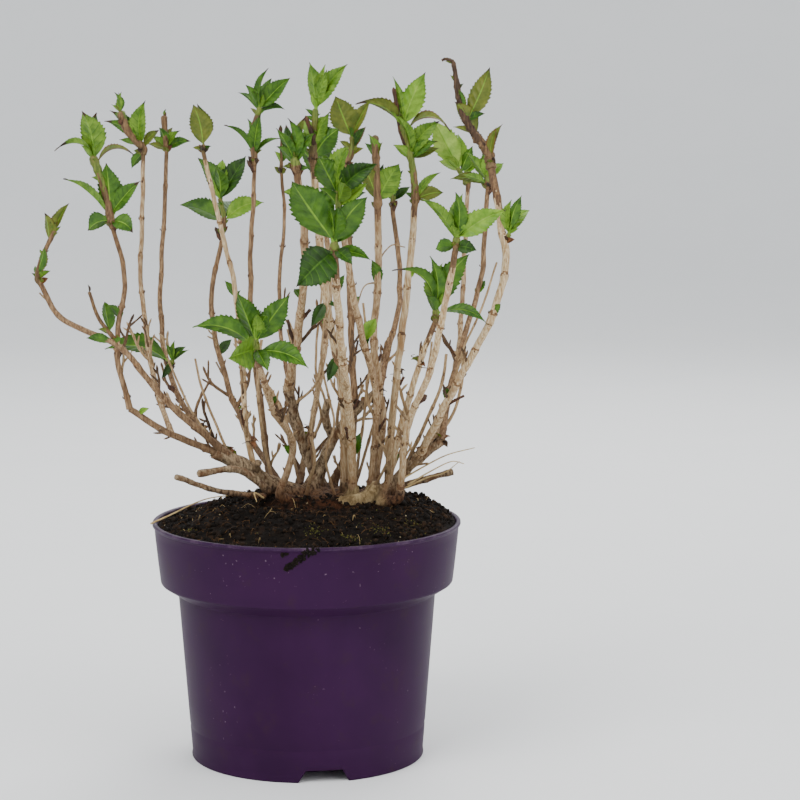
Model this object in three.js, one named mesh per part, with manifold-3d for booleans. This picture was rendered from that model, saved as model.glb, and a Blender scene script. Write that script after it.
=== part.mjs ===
// A young garden hydrangea in its nursery pot, just coming into leaf.
// Millimetres, +Z up, +X to the right and +Y away from the viewer.
// The origin is the centre of the pot's flat underside.

import * as THREE from 'three';
import { mergeVertices } from 'three/addons/utils/BufferGeometryUtils.js';
import Module from 'manifold-3d';

const wasm = await Module();
wasm.setup();

// Driving dimensions of the pot
const potHeight = 170;
const potBaseRadius = 83.5;
const potNeckRadius = 92;
const potNeckHeight = 119;
const bandFootRadius = 104.5;
const bandFootHeight = 127;
const potRimRadius = 110;
const potWall = 2;
const lipWidth = 1.4;
const lipDepth = 3;
const lipEdge = 0.9;
const potSegments = 40;
const footRingWidth = 4.5;
const footRingHeight = 9;
const underDiscRadius = 48;
const moulding = 3;
const notchCount = 3;
const notchFootWidth = 37;
const notchTopWidth = 26;
const notchReach = 20;
const notchRoof = 0.4;
const firstNotchTurn = -80;

// Driving dimensions of the compost and the woody crown that stands on it
const soilEdgeHeight = 168;
const soilTopHeight = 181;
const soilFlatRadius = 60;
const soilSlope = 1.6;
const soilRelief = 1.1;
const soilRoughening = 4;
const soilWaves = [[0.19, 0.11], [-0.07, 0.23]];
const soilFit = 0.45;
const soilRings = [94, 84, 74, 62, 30];
const crownCentre = [16, 14];
const crownReach = [50, 28];
const crownHeight = 9;
const crownSegments = 22;
const crownOutline = [[0, 0], [1, 0], [0.97, 0.3], [0.8, 0.68], [0.45, 0.94], [0, 1]];
const collarDepth = 2;
const collarSides = 8;
const collarRun = 0.6;
const collarFlare = 2;
const collarNeck = 1.3;
const groundDepth = 40;

// Shared values
const gap = 0.3;
const caneSides = 5;
const jointSpacing = 60;
const jointSwell = 1.32;
const jointLength = 3;
const jointPlace = 0.62;
const footSwell = 1.15;
const twigStep = 16;
const bendPerStation = THREE.MathUtils.degToRad(11);
const leafThickness = 1.1;
const smallLeaf = 30;
const finest = 0.02;
const crownFinest = 0.1;
const leafyFinest = 0.2;

const colours = {
  pot: 0x3b1f4d,
  soil: 0x1f1712,
  oldWood: 0x7d6650,
  cane: 0xb6946a,
  leaf: 0x4f8a2c,
};

// Seeded random numbers, so that every build gives the same plant
function seededRandom(seed) {
  let state = seed * 7919 + 17;
  return () => {
    state = (state * 16807) % 2147483647;
    return state / 2147483647;
  };
}

// Closed solids and the meshes made from them

function solidFromFaces(points, faces) {
  const vertProperties = new Float32Array(points.flatMap((p) => [p.x, p.y, p.z]));
  const triVerts = new Uint32Array(faces.flat());
  return new wasm.Manifold(new wasm.Mesh({ numProp: 3, vertProperties, triVerts }));
}

function solidFromGeometry(geometry) {
  const plain = geometry.clone();
  plain.deleteAttribute('normal');
  plain.deleteAttribute('uv');
  const merged = mergeVertices(plain, 1e-4);
  const place = merged.attributes.position;
  const points = [];
  for (let i = 0; i < place.count; i += 1) {
    points.push(new THREE.Vector3().fromBufferAttribute(place, i));
  }
  const faces = [];
  for (let i = 0; i < merged.index.count; i += 3) {
    const face = [0, 1, 2].map((k) => merged.index.getX(i + k));
    if (new Set(face).size === 3) faces.push(face);
  }
  return solidFromFaces(points, faces);
}

function unionOf(solids) {
  return solids.reduce((whole, solid) => whole.add(solid));
}

// Only the main body is kept: loose scraps and sealed bubbles are dropped
function mainBody(solid, detail = finest) {
  const pieces = solid.asOriginal().simplify(detail).decompose();
  return pieces.reduce((best, piece) => (piece.volume() > best.volume() ? piece : best));
}

function meshFrom(name, solid, colour, roughness) {
  const body = mainBody(solid).getMesh();
  const geometry = new THREE.BufferGeometry();
  geometry.setAttribute('position', new THREE.BufferAttribute(body.vertProperties.slice(), 3));
  geometry.setIndex(new THREE.BufferAttribute(body.triVerts.slice(), 1));
  geometry.computeVertexNormals();
  const material = new THREE.MeshStandardMaterial({ color: colour, roughness, metalness: 0 });
  const mesh = new THREE.Mesh(geometry, material);
  mesh.name = name;
  return mesh;
}

function lathe(profile, segments) {
  const points = profile.map(([radius, height]) => new THREE.Vector2(radius, height));
  return new THREE.LatheGeometry(points, segments).rotateX(Math.PI / 2);
}

// Faces of a body made of rings of points, closed by one point at each end
function closedRings(rings, sides, startPoint, endPoint) {
  const faces = [];
  for (let i = 0; i < sides; i += 1) {
    const next = (i + 1) % sides;
    faces.push([startPoint, next, i]);
    for (let r = 0; r < rings - 1; r += 1) {
      const low = r * sides;
      const high = low + sides;
      faces.push([low + i, low + next, high + next]);
      faces.push([low + i, high + next, high + i]);
    }
    const last = (rings - 1) * sides;
    faces.push([endPoint, last + i, last + next]);
  }
  return faces;
}

// Pot: a thin shell with a wide rim band, a shoulder under it and a footed base

function potInsideRadius(height) {
  const neckShare = (height - footRingHeight) / (potNeckHeight - footRingHeight);
  return potBaseRadius + (potNeckRadius - potBaseRadius) * neckShare - potWall;
}

// The inside of the wall and floor, from the floor's middle up to the band
function potInside() {
  const floorTop = footRingHeight + potWall;
  return [
    [underDiscRadius - potWall, potWall],
    [underDiscRadius + moulding - potWall, floorTop],
    [potInsideRadius(floorTop), floorTop],
    [potNeckRadius - potWall, potNeckHeight + 1],
    [bandFootRadius - potWall, bandFootHeight + potWall],
  ];
}

function makePot() {
  const profile = [
    [0, 0],
    [underDiscRadius, 0],
    [underDiscRadius + moulding, footRingHeight],
    [potBaseRadius - footRingWidth - moulding, footRingHeight],
    [potBaseRadius - footRingWidth, 0],
    [potBaseRadius, 0],
    [potNeckRadius, potNeckHeight],
    [bandFootRadius - lipEdge, bandFootHeight - lipEdge],
    [bandFootRadius, bandFootHeight + lipEdge],
    [potRimRadius - lipWidth, potHeight - lipDepth],
    [potRimRadius, potHeight - lipDepth + lipEdge],
    [potRimRadius, potHeight],
    [potRimRadius - lipWidth - potWall, potHeight],
    ...potInside().reverse(),
    [0, potWall],
  ];
  const shell = solidFromGeometry(lathe(profile, potSegments));
  const outline = new THREE.Shape([
    new THREE.Vector2(-notchFootWidth / 2, -1),
    new THREE.Vector2(notchFootWidth / 2, -1),
    new THREE.Vector2(notchTopWidth / 2, footRingHeight - notchRoof),
    new THREE.Vector2(-notchTopWidth / 2, footRingHeight - notchRoof),
  ]);
  const notches = Array.from({ length: notchCount }, (_, i) => {
    const notch = new THREE.ExtrudeGeometry(outline, { depth: notchReach, bevelEnabled: false });
    notch.rotateX(Math.PI / 2).rotateZ(Math.PI / 2).translate(potBaseRadius - notchReach / 2, 0, 0);
    const turn = firstNotchTurn + (i * 360) / notchCount;
    return solidFromGeometry(notch.rotateZ(THREE.MathUtils.degToRad(turn)));
  });
  return notches.reduce((pot, notch) => pot.subtract(notch), shell);
}

// Compost: fills the pot, level at the rim and mounded round the crown

function soilHeightAt(x, y) {
  const fromCrown = Math.hypot(x - crownCentre[0], y - crownCentre[1]);
  const slopeWidth = potRimRadius - soilFlatRadius;
  const beyond = THREE.MathUtils.clamp((fromCrown - soilFlatRadius) / slopeWidth, 0, 1);
  const lumps = soilWaves.reduce((sum, [alongX, alongY]) => sum + Math.sin(x * alongX + y * alongY), 0);
  const relief = soilRelief * Math.min(1, beyond * soilRoughening);
  return soilTopHeight - (soilTopHeight - soilEdgeHeight) * beyond ** soilSlope + lumps * relief;
}

function makeSoil() {
  const edgeShare = (soilEdgeHeight - bandFootHeight) / (potHeight - bandFootHeight);
  const edgeRadius = THREE.MathUtils.lerp(bandFootRadius, potRimRadius - lipWidth, edgeShare) - potWall;
  const sides = potInside().map(([radius, height]) => [radius - soilFit, height + soilFit]);
  const topRadii = [edgeRadius - soilFit, ...soilRings];
  const points = [];
  const ring = (radius, heightAt) => {
    for (let i = 0; i < potSegments; i += 1) {
      const turn = (i / potSegments) * Math.PI * 2;
      const x = radius * Math.cos(turn);
      const y = radius * Math.sin(turn);
      points.push(new THREE.Vector3(x, y, heightAt(x, y)));
    }
  };
  sides.forEach(([radius, height]) => ring(radius, () => height));
  topRadii.forEach((radius) => ring(radius, soilHeightAt));
  const rings = sides.length + topRadii.length;
  const bottom = points.push(new THREE.Vector3(0, 0, potWall + soilFit)) - 1;
  const top = points.push(new THREE.Vector3(0, 0, soilHeightAt(0, 0))) - 1;
  return solidFromFaces(points, closedRings(rings, potSegments, bottom, top));
}

// Limbs: tapering round stems along a smooth line, swollen at their joints

function vector(place) {
  return new THREE.Vector3(place[0], place[1], place[2]);
}

function limbStations(curve, joints) {
  const length = curve.getLength();
  const count = joints ? Math.max(1, Math.round(length / jointSpacing)) : 0;
  const half = jointLength / length;
  const stations = [{ at: 0, swell: joints ? footSwell : 1 }];
  for (let i = 0; i < count; i += 1) {
    const middle = (i + jointPlace) / count;
    stations.push({ at: middle - half, swell: 1 });
    stations.push({ at: middle, swell: jointSwell });
    stations.push({ at: middle + half, swell: 1 });
  }
  if (!joints) {
    const steps = Math.max(2, Math.round(length / twigStep));
    for (let i = 1; i < steps; i += 1) stations.push({ at: i / steps, swell: 1 });
  }
  stations.push({ at: 1, swell: 1 });
  return roundedBends(curve, roundedBends(curve, stations));
}

// Where a limb bends more than a little between two stations, one more goes between them
function roundedBends(curve, stations) {
  return stations.flatMap((station, i) => {
    const next = stations[i + 1];
    if (!next) return [station];
    const bend = curve.getTangentAt(station.at).angleTo(curve.getTangentAt(next.at));
    if (bend < bendPerStation) return [station];
    const between = { at: (station.at + next.at) / 2, swell: (station.swell + next.swell) / 2 };
    return [station, between];
  });
}

function limbSolid(curve, thick, { joints = true, sides = caneSides, extra = 0 } = {}) {
  const points = [];
  const stations = limbStations(curve, joints);
  let across = new THREE.Vector3(1, 0, 0);
  for (const { at, swell } of stations) {
    const along = curve.getTangentAt(at);
    across = across.clone().sub(along.clone().multiplyScalar(across.dot(along))).normalize();
    const beside = along.clone().cross(across);
    const radius = (THREE.MathUtils.lerp(thick[0], thick[1], at) / 2) * swell + extra;
    const centre = curve.getPointAt(at);
    if (at === 0) centre.addScaledVector(along, -extra);
    if (at === 1) centre.addScaledVector(along, extra);
    for (let i = 0; i < sides; i += 1) {
      const turn = (i / sides) * Math.PI * 2;
      points.push(centre.clone()
        .addScaledVector(across, radius * Math.cos(turn))
        .addScaledVector(beside, radius * Math.sin(turn)));
    }
  }
  const first = points.push(curve.getPointAt(0).addScaledVector(curve.getTangentAt(0), -extra)) - 1;
  const last = points.push(curve.getPointAt(1).addScaledVector(curve.getTangentAt(1), extra)) - 1;
  return solidFromFaces(points, closedRings(stations.length, sides, first, last));
}

// The old stems and the canes, each from its foot to its tip.
// A foot is a place on the woody crown, or a share of the way up another limb.
const oldStems = [
  { name: 'old_stem_left', foot: [-23, 12, 190], thick: [13, 9],
    via: [[-45, 2, 208]], tip: [-65, -6, 220] },
  { name: 'old_stem_middle', foot: [7, 34, 191], thick: [9, 7],
    via: [[-5, 30, 224]], tip: [-14, 20, 261] },
  { name: 'old_stem_dark', foot: [3, 15, 191], thick: [9, 6],
    via: [[22, 26, 230]], tip: [52, 44, 259] },
  { name: 'old_stem_right', foot: [59, 8, 191], thick: [9, 6.5],
    via: [[76, 2, 211]], tip: [96, 0, 227] },
];

const canes = [
  { name: 'cut_stub', on: 'old_stem_dark', at: 0.42, thick: [6, 5.5],
    via: [[13, 15, 240]], tip: [15, 9, 255] },
  { name: 'cane_left_low', on: 'old_stem_left', at: 0.96, thick: [5.2, 4.4],
    via: [[-97, -16, 235]], tip: [-123, -24, 253] },
  { name: 'cane_left_high', on: 'cane_left_low', at: 1, thick: [4.2, 3.2],
    via: [[-131, -26, 295], [-126, -18, 347]], tip: [-134, -14, 379] },
  { name: 'cane_far_left', on: 'old_stem_left', at: 0.7, thick: [5, 3.6],
    via: [[-97, -34, 261], [-128, -47, 300], [-167, -50, 320]], tip: [-180, -50, 343] },
  { name: 'cane_left_back', on: 'cane_left_low', at: 0.5, thick: [4, 3],
    via: [[-108, 10, 266], [-120, 40, 331]], tip: [-119, 55, 428] },
  { name: 'cane_left_inner', on: 'old_stem_left', at: 0.54, thick: [4.4, 3],
    via: [[-88, 26, 246], [-107, 60, 293]], tip: [-106, 95, 428] },
  { name: 'cane_mid_left', on: 'old_stem_left', at: 0.34, thick: [4.6, 3],
    via: [[-44, 14, 235], [-49, 40, 309]], tip: [-74, 35, 430] },
  { name: 'cane_mid_left_back', foot: [-27, 22, 190], thick: [5, 3],
    via: [[-33, 33, 238], [-42, 54, 323]], tip: [-39, 60, 420] },
  { name: 'cane_low_front', foot: [-19, -8, 189], thick: [5.4, 4],
    via: [[-9, -22, 227], [-21, -52, 257]], tip: [-30, -92, 298] },
  { name: 'cane_thin', on: 'old_stem_middle', at: 0.72, thick: [3.4, 2.4],
    via: [[-22, 62, 312], [-19, 90, 382]], tip: [-21, 94, 412] },
  { name: 'cane_centre_left', on: 'old_stem_middle', at: 1, thick: [6.2, 5.2],
    via: [[-5, -5, 307], [1, -30, 365]], tip: [-4, -40, 419] },
  { name: 'cane_centre', foot: [27, 8, 190], thick: [6.2, 5.2],
    via: [[26, 0, 256], [14, -22, 336]], tip: [7, -30, 423] },
  { name: 'cane_centre_back', foot: [18, 40, 190], thick: [5.4, 4],
    via: [[32, 42, 226], [31, 54, 301]], tip: [28, 62, 418] },
  { name: 'cane_front', foot: [33, -1, 189], thick: [6.4, 5],
    via: [[32, -16, 237], [26, -60, 305]], tip: [23, -98, 366] },
  { name: 'cane_front_right', foot: [45, 0, 190], thick: [5.4, 4.4],
    via: [[50, -14, 257], [38, -44, 318]], tip: [27, -72, 385] },
  { name: 'cane_right_centre', foot: [48, 22, 190], thick: [5.6, 5],
    via: [[54, 15, 240], [48, 6, 295], [51, 0, 342]], tip: [51, -4, 391] },
  { name: 'cane_right_back', on: 'old_stem_dark', at: 1, thick: [4.6, 3.4],
    via: [[58, 60, 284], [67, 85, 331]], tip: [61, 100, 387] },
  { name: 'cane_tall_right', foot: [58, 34, 189], thick: [5.8, 4.8],
    via: [[62, 32, 252], [75, 32, 361]], tip: [77, 28, 392] },
  { name: 'cane_right_low', foot: [56, -6, 189], thick: [5, 4],
    via: [[70, -18, 250], [81, -30, 288]], tip: [91, -42, 316] },
  { name: 'cane_right_pale', foot: [66, -14, 188], thick: [5.2, 4.2],
    via: [[72, -30, 240], [89, -58, 290]], tip: [104, -84, 369] },
  { name: 'cane_far_right_low', on: 'old_stem_right', at: 0.62, thick: [5.6, 5],
    via: [[98, -20, 254]], tip: [128, -48, 315] },
  { name: 'cane_far_right_high', on: 'cane_far_right_low', at: 1, thick: [5, 5.4],
    via: [[139, -42, 351], [136, -32, 386]], tip: [130, -20, 421] },
  { name: 'cane_right_rear', on: 'old_stem_right', at: 1, thick: [4.6, 3.4],
    via: [[106, 30, 274], [125, 60, 334]], tip: [130, 50, 403] },
  { name: 'cane_right_far', on: 'old_stem_right', at: 0.8, thick: [4.2, 3.2],
    via: [[104, 46, 257], [112, 85, 312]], tip: [117, 98, 404] },
  { name: 'cane_back', foot: [-7, 46, 188], thick: [5, 3.6],
    via: [[4, 82, 246], [14, 112, 317]], tip: [10, 122, 380] },
  { name: 'cane_back_left', foot: [-20, 38, 188], thick: [4.8, 3.4],
    via: [[-51, 68, 233], [-74, 98, 311]], tip: [-66, 106, 367] },
];

// Dead stems of earlier years, cut short and lying low, that grow out of the crown
const cutStems = [
  { foot: [-26, -1, 190], via: [[-47, -14, 208]], tip: [-75, -30, 208], thick: [7, 5.5] },
  { foot: [-29, -9, 188], via: [[-62, -24, 195]], tip: [-90, -42, 208], thick: [5.5, 4.5] },
  { foot: [58, 21, 188], via: [[85, 25, 195]], tip: [105, 24, 201], thick: [7, 5] },
];

const curveOf = {};
const limbOf = {};
const keepOut = {};

function makeLimb(limb) {
  const parent = limb.on ? curveOf[limb.on] : null;
  const foot = parent ? parent.getPointAt(limb.at) : vector(limb.foot);
  const line = [foot, ...limb.via.map(vector), vector(limb.tip)];
  const curve = new THREE.CatmullRomCurve3(line, false, 'centripetal');
  let solid = limbSolid(curve, limb.thick);
  if (parent) solid = mainBody(solid.subtract(keepOut[limb.on]));
  curveOf[limb.name] = curve;
  limbOf[limb.name] = solid;
  keepOut[limb.name] = limbSolid(curve, limb.thick, { extra: gap });
}

// Woody crown: a low knuckled base with a collar that runs out to every stem that springs from it

function makeCrown() {
  const base = lathe(crownOutline, crownSegments)
    .scale(crownReach[0], crownReach[1], crownHeight)
    .translate(crownCentre[0], crownCentre[1], soilTopHeight + gap);
  const rooted = [...oldStems, ...canes].filter((limb) => limb.foot);
  const collars = rooted.map((limb) => {
    const along = curveOf[limb.name].getTangentAt(0);
    const end = vector(limb.foot).addScaledVector(along, -gap);
    const middle = new THREE.Vector3(crownCentre[0], crownCentre[1], soilTopHeight + collarDepth);
    const start = middle.clone().lerp(end, collarRun).setZ(middle.z);
    const thick = [limb.thick[0] * collarFlare, limb.thick[0] * collarNeck];
    return limbSolid(new THREE.LineCurve3(start, end), thick, { joints: false, sides: collarSides });
  });
  const cuts = cutStems.map((stem) => {
    const line = [vector(stem.foot), ...stem.via.map(vector), vector(stem.tip)];
    return limbSolid(new THREE.CatmullRomCurve3(line, false, 'centripetal'), stem.thick);
  });
  const whole = unionOf([solidFromGeometry(base), ...collars, ...cuts]);
  const ground = new THREE.BoxGeometry(potRimRadius * 3, potRimRadius * 3, groundDepth);
  ground.translate(0, 0, soilTopHeight + gap - groundDepth / 2);
  const level = whole.subtract(solidFromGeometry(ground));
  const cleared = Object.values(keepOut).reduce((crown, limb) => crown.subtract(limb), level);
  return mainBody(cleared, crownFinest);
}

// Leaves: a folded, arching blade on a narrow stalk, drawn from its direction.
// side turns it from upright in the viewer's plane, plus to the right; fore leans it to
// the viewer; arch bends its tip down; face turns the blade from edge-on to broadside.

const leafDefaults = { fore: 0, wide: 0.42, arch: 30, face: 65 };
const nearUpright = 0.35;
const steepestArch = 120;
const deepestRoot = 2.2;
const deepestRootShare = 0.12;
const rootShare = 0.1;
const foldRise = 0.28;
const thinnest = 0.35;
const smallBlade = [{ at: 0.46, share: 1 }];
const largeBlade = [{ at: 0.32, share: 0.88 }, { at: 0.62, share: 0.9 }];

function directionOf(side, fore) {
  const s = THREE.MathUtils.degToRad(side);
  const f = THREE.MathUtils.degToRad(fore);
  return new THREE.Vector3(Math.sin(s) * Math.cos(f), -Math.sin(f), Math.cos(s) * Math.cos(f));
}

function leafSolid(root, leaf) {
  const { side, fore, long, wide, arch, face } = { ...leafDefaults, ...leaf };
  const chord = directionOf(side, fore);
  const down = new THREE.Vector3(0, 0, -1);
  const pull = down.clone().addScaledVector(chord, -down.dot(chord));
  const sideways = new THREE.Vector3(Math.sign(side || 1), 0, 0);
  sideways.addScaledVector(chord, -sideways.dot(chord));
  const droop = (pull.length() > nearUpright ? pull : sideways).normalize();
  const flat = chord.clone().cross(new THREE.Vector3(0, -1, 0)).normalize();
  const deep = flat.clone().cross(chord).normalize();
  const turn = THREE.MathUtils.degToRad(face);
  const across = flat.multiplyScalar(Math.sin(turn)).addScaledVector(deep, Math.cos(turn));
  const normal = across.clone().cross(chord).normalize();
  if (normal.dot(droop) > 0) {
    normal.negate();
    across.negate();
  }
  const halfWide = (long * wide) / 2;
  const rise = Math.tan(THREE.MathUtils.degToRad(Math.min(arch, steepestArch) / 2)) * long;
  const sunk = Math.min(deepestRoot / long, deepestRootShare);
  const blade = long < smallLeaf ? smallBlade : largeBlade;
  const stations = [{ at: -sunk, share: rootShare }, ...blade, { at: 1, share: 0 }];
  const points = [];
  for (const { at, share } of stations) {
    const bow = -rise * Math.max(at, 0) * (1 - at);
    const centre = root.clone().addScaledVector(chord, at * long).addScaledVector(droop, bow);
    if (share === 0) {
      points.push(centre);
      continue;
    }
    const half = halfWide * share;
    const thick = (leafThickness * THREE.MathUtils.lerp(thinnest, 1, share)) / 2;
    const lift = half * foldRise;
    const right = centre.clone().addScaledVector(across, half).addScaledVector(normal, lift);
    const left = centre.clone().addScaledVector(across, -half).addScaledVector(normal, lift);
    points.push(right);
    points.push(centre.clone().addScaledVector(normal, thick));
    points.push(left);
    points.push(centre.clone().addScaledVector(normal, -thick));
  }
  return solidFromFaces(points, leafFaces(stations.length - 1));
}

// Faces of a blade of four-sided sections that runs out to one point
function leafFaces(sections) {
  const faces = [[0, 1, 2], [0, 2, 3]];
  for (let s = 0; s < sections - 1; s += 1) {
    for (let k = 0; k < 4; k += 1) {
      const next = (k + 1) % 4;
      faces.push([s * 4 + k, s * 4 + 4 + next, s * 4 + next]);
      faces.push([s * 4 + k, s * 4 + 4 + k, s * 4 + 4 + next]);
    }
  }
  const last = (sections - 1) * 4;
  for (let k = 0; k < 4; k += 1) faces.push([last + k, sections * 4, last + ((k + 1) % 4)]);
  return faces;
}

// Leafy shoots. Each springs from its cane's tip on one stem that leans, and may bow sideways.
// A leaf is [height up the stem, side, fore, length, further values if any].
const shoots = [
  {
    name: 'shoot_left_high', on: 'cane_left_high',
    side: -15, fore: 0, long: 53, bow: 2, end: 4.6, start: 4.4,
    leaves: [
      [9, 38, 10, 34, { wide: 0.4 }], [10, -45, 5, 41, { wide: 0.3, face: 30, arch: 20 }],
      [11, -2, 14, 36, { wide: 0.5, face: 80 }], [6, -112, 30, 19, { wide: 0.7, arch: 50 }],
      [6, 118, 25, 19, { wide: 0.7, arch: 50 }], [48, -10, 14, 38, { wide: 0.48, face: 82 }],
      [50, 2, -12, 34, { wide: 0.44, face: 70 }], [45, -68, 0, 32, { wide: 0.28, arch: 105, face: 30 }],
      [46, 76, 5, 29, { wide: 0.26, arch: 90, face: 30 }],
    ],
  },
  {
    name: 'shoot_far_left', on: 'cane_far_left',
    side: 16, fore: 0, long: 40, bow: -4, end: 3, start: 3.8,
    leaves: [
      [5, 16, 16, 25, { wide: 0.3 }], [4, 52, 10, 11], [3, -38, 0, 7], [30, -2, 12, 21, { wide: 0.4 }],
      [34, 12, -14, 19, { wide: 0.36 }], [36, 24, 4, 24, { wide: 0.3 }],
    ],
  },
  {
    name: 'shoot_left_twin', on: 'cane_left_back',
    side: -27, fore: 4, long: 36, bow: -2, end: 4.4, start: 4.2,
    leaves: [
      [8, -54, 8, 31, { wide: 0.32, face: 60 }], [12, -38, -10, 29, { wide: 0.3 }],
      [7, -72, 14, 17, { wide: 0.3 }], [6, 4, 12, 34, { wide: 0.4, face: 74 }], [5, 42, 10, 18],
      [2, -140, -8, 15, { wide: 0.5 }], [34, -16, 6, 16, { wide: 0.34 }],
      [35, 2, -12, 15, { wide: 0.3 }], [26, -62, 10, 6], [22, 66, 0, 7],
    ],
  },
  {
    name: 'shoot_left_bare_tip', on: 'cane_left_inner',
    side: -3, fore: 3, long: 28, bow: 0, end: 4,
    leaves: [
      [3, -44, 12, 15], [4, -18, 22, 18], [3, -72, 4, 14], [4, 38, 16, 17], [3, 68, 8, 19],
      [5, 12, -22, 16], [27, 12, 4, 6, { wide: 0.3 }],
    ],
  },
  {
    name: 'shoot_single_leaf', on: 'cane_mid_left',
    side: 0, fore: 0, long: 7, bow: 0, end: 2,
    leaves: [
      [4, -14, 8, 32, { wide: 0.54, face: 86, arch: 14 }],
      [5, -6, -14, 31, { wide: 0.46, face: 72, arch: 10 }], [2, -70, 10, 8], [2, 60, 20, 7],
    ],
  },
  {
    name: 'shoot_mid_left', on: 'cane_mid_left_back',
    side: 6, fore: 0, long: 43, bow: -4, end: 3, start: 3.6,
    leaves: [
      [6, 9, 14, 33, { wide: 0.34, face: 72 }], [5, -40, 8, 34, { wide: 0.24, face: 30, arch: 50 }],
      [7, 52, 6, 23, { wide: 0.26, arch: 44, face: 30 }], [8, -12, -16, 27, { wide: 0.34 }],
      [39, -25, 4, 22, { wide: 0.4 }], [41, 10, 8, 31, { wide: 0.26, face: 44 }],
      [40, 46, 10, 33, { wide: 0.42, face: 74 }], [38, 82, 5, 20, { wide: 0.3, arch: 70 }],
      [39, -48, -20, 22, { wide: 0.22, arch: 60 }], [41, 20, -24, 26, { wide: 0.36 }],
    ],
  },
  {
    name: 'shoot_low_front', on: 'cane_low_front',
    side: 0, fore: 16, long: 13, bow: 0, end: 2.4,
    leaves: [
      [8, -17, 20, 40, { wide: 0.4, face: 76 }], [9, 38, 14, 42, { wide: 0.42, face: 76 }],
      [6, -66, 10, 46, { wide: 0.34, arch: 56 }], [5, -100, 62, 34, { wide: 0.66, face: 86, arch: 24 }],
      [5, 104, 16, 38, { wide: 0.4, arch: 30, face: 58 }], [11, 5, 34, 24], [11, 26, 30, 25],
      [6, 150, 46, 22, { wide: 0.5, arch: 30 }], [10, 8, -30, 24], [7, -36, -34, 28],
    ],
  },
  {
    name: 'shoot_thin', on: 'cane_thin',
    side: 0, fore: 0, long: 32, bow: 0, end: 1.6,
    leaves: [
      [8, -24, 10, 11], [9, 30, 10, 12], [20, 24, 6, 8, { wide: 0.3 }], [31, -12, 0, 6, { wide: 0.3 }],
    ],
  },
  {
    name: 'shoot_centre_left', on: 'cane_centre_left',
    side: -10, fore: 0, long: 12, bow: 0, end: 3.6,
    leaves: [
      [5, -26, 14, 30, { wide: 0.3 }], [7, -8, 18, 33, { wide: 0.28 }], [8, 10, 8, 32, { wide: 0.28 }],
      [5, 28, 12, 27, { wide: 0.34 }], [4, -42, 6, 20], [3, -82, 12, 10], [3, 84, 12, 9],
      [7, -16, -20, 29, { wide: 0.3 }],
    ],
  },
  {
    name: 'shoot_centre', on: 'cane_centre',
    side: 2, fore: 0, long: 40, bow: 0, end: 2.8,
    leaves: [
      [37, -6, 6, 35, { wide: 0.38 }], [38, 32, 10, 40, { wide: 0.36, face: 70 }],
      [39, 9, -12, 32, { wide: 0.26 }], [39, 16, 20, 31, { wide: 0.24 }],
      [5, 42, 14, 29, { wide: 0.6, face: 86 }], [8, 20, 20, 33, { wide: 0.3 }], [9, -30, 12, 19],
      [12, -14, -16, 24], [20, 58, 10, 14], [30, -50, 4, 8], [28, 54, 8, 11],
    ],
  },
  {
    name: 'shoot_round_leaf', on: 'cane_centre_back',
    side: 8, fore: 0, long: 24, bow: 2, end: 2.4,
    leaves: [
      [22, -22, 8, 33, { wide: 0.64, face: 88, arch: 12 }], [22, 24, -8, 31, { wide: 0.34 }],
      [14, 30, 12, 20], [12, -42, 10, 13], [10, 62, 16, 11],
    ],
  },
  {
    name: 'shoot_front', on: 'cane_front',
    side: 0, fore: 14, long: 11, bow: 0, end: 3,
    leaves: [
      [8, -35, 24, 56, { wide: 0.5, face: 82, arch: 22 }],
      [4, -134, 38, 42, { wide: 0.64, face: 88, arch: 20 }], [8, 35, 14, 40, { wide: 0.46, face: 76 }],
      [10, -8, 26, 28, { wide: 0.4 }], [10, 5, 34, 30, { wide: 0.4 }], [7, 42, -18, 31, { wide: 0.4 }],
      [4, 100, 14, 25, { wide: 0.34 }], [5, 128, 40, 20, { wide: 0.5 }],
    ],
  },
  {
    name: 'shoot_front_upper', on: 'cane_front_right',
    side: -8, fore: 4, long: 24, bow: 0, end: 2.6,
    leaves: [
      [21, -26, 16, 30, { wide: 0.62, face: 86 }], [22, 12, 8, 33, { wide: 0.32 }],
      [21, 50, 12, 35, { wide: 0.46, face: 80 }], [12, 46, 20, 27, { wide: 0.4 }], [12, -40, 12, 20],
      [22, -10, -22, 26], [14, 18, 44, 24, { wide: 0.5 }],
    ],
  },
  {
    name: 'shoot_right_centre', on: 'cane_right_centre',
    side: -2, fore: 0, long: 53, bow: 0, end: 4,
    leaves: [
      [5, 28, 8, 33, { wide: 0.58, face: 86 }], [5, -19, 10, 32, { wide: 0.42, face: 76 }],
      [6, 8, -20, 28], [36, -16, 12, 19, { wide: 0.4 }], [37, 22, 6, 12], [36, -34, -10, 14],
    ],
  },
  {
    name: 'shoot_right_back', on: 'cane_right_back',
    side: 4, fore: 0, long: 12, bow: 0, end: 2,
    leaves: [
      [6, 20, 8, 24], [5, -34, 10, 18], [5, 50, 0, 17], [9, 2, -10, 22], [8, -14, 22, 16],
    ],
  },
  {
    name: 'shoot_tall_right', on: 'cane_tall_right',
    side: -9, fore: 0, long: 60, bow: 3, end: 3.4,
    leaves: [
      [56, 20, 10, 44, { wide: 0.4, face: 76 }], [54, -56, 4, 40, { wide: 0.3, arch: 80, face: 44 }],
      [52, 88, 4, 34, { wide: 0.26, arch: 105, face: 36 }], [57, -8, -6, 37, { wide: 0.18 }],
      [56, 4, -18, 33, { wide: 0.3 }], [36, 38, 12, 33, { wide: 0.42, face: 80 }],
      [34, 56, 20, 24, { wide: 0.4 }], [35, -20, 10, 33, { wide: 0.3, face: 60 }], [33, -48, 12, 18],
      [34, 70, 0, 22, { wide: 0.34 }], [5, 72, 10, 21, { wide: 0.56 }], [5, 44, -6, 27, { wide: 0.24 }],
      [5, -50, 8, 9],
    ],
  },
  {
    name: 'shoot_right_low', on: 'cane_right_low',
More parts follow.
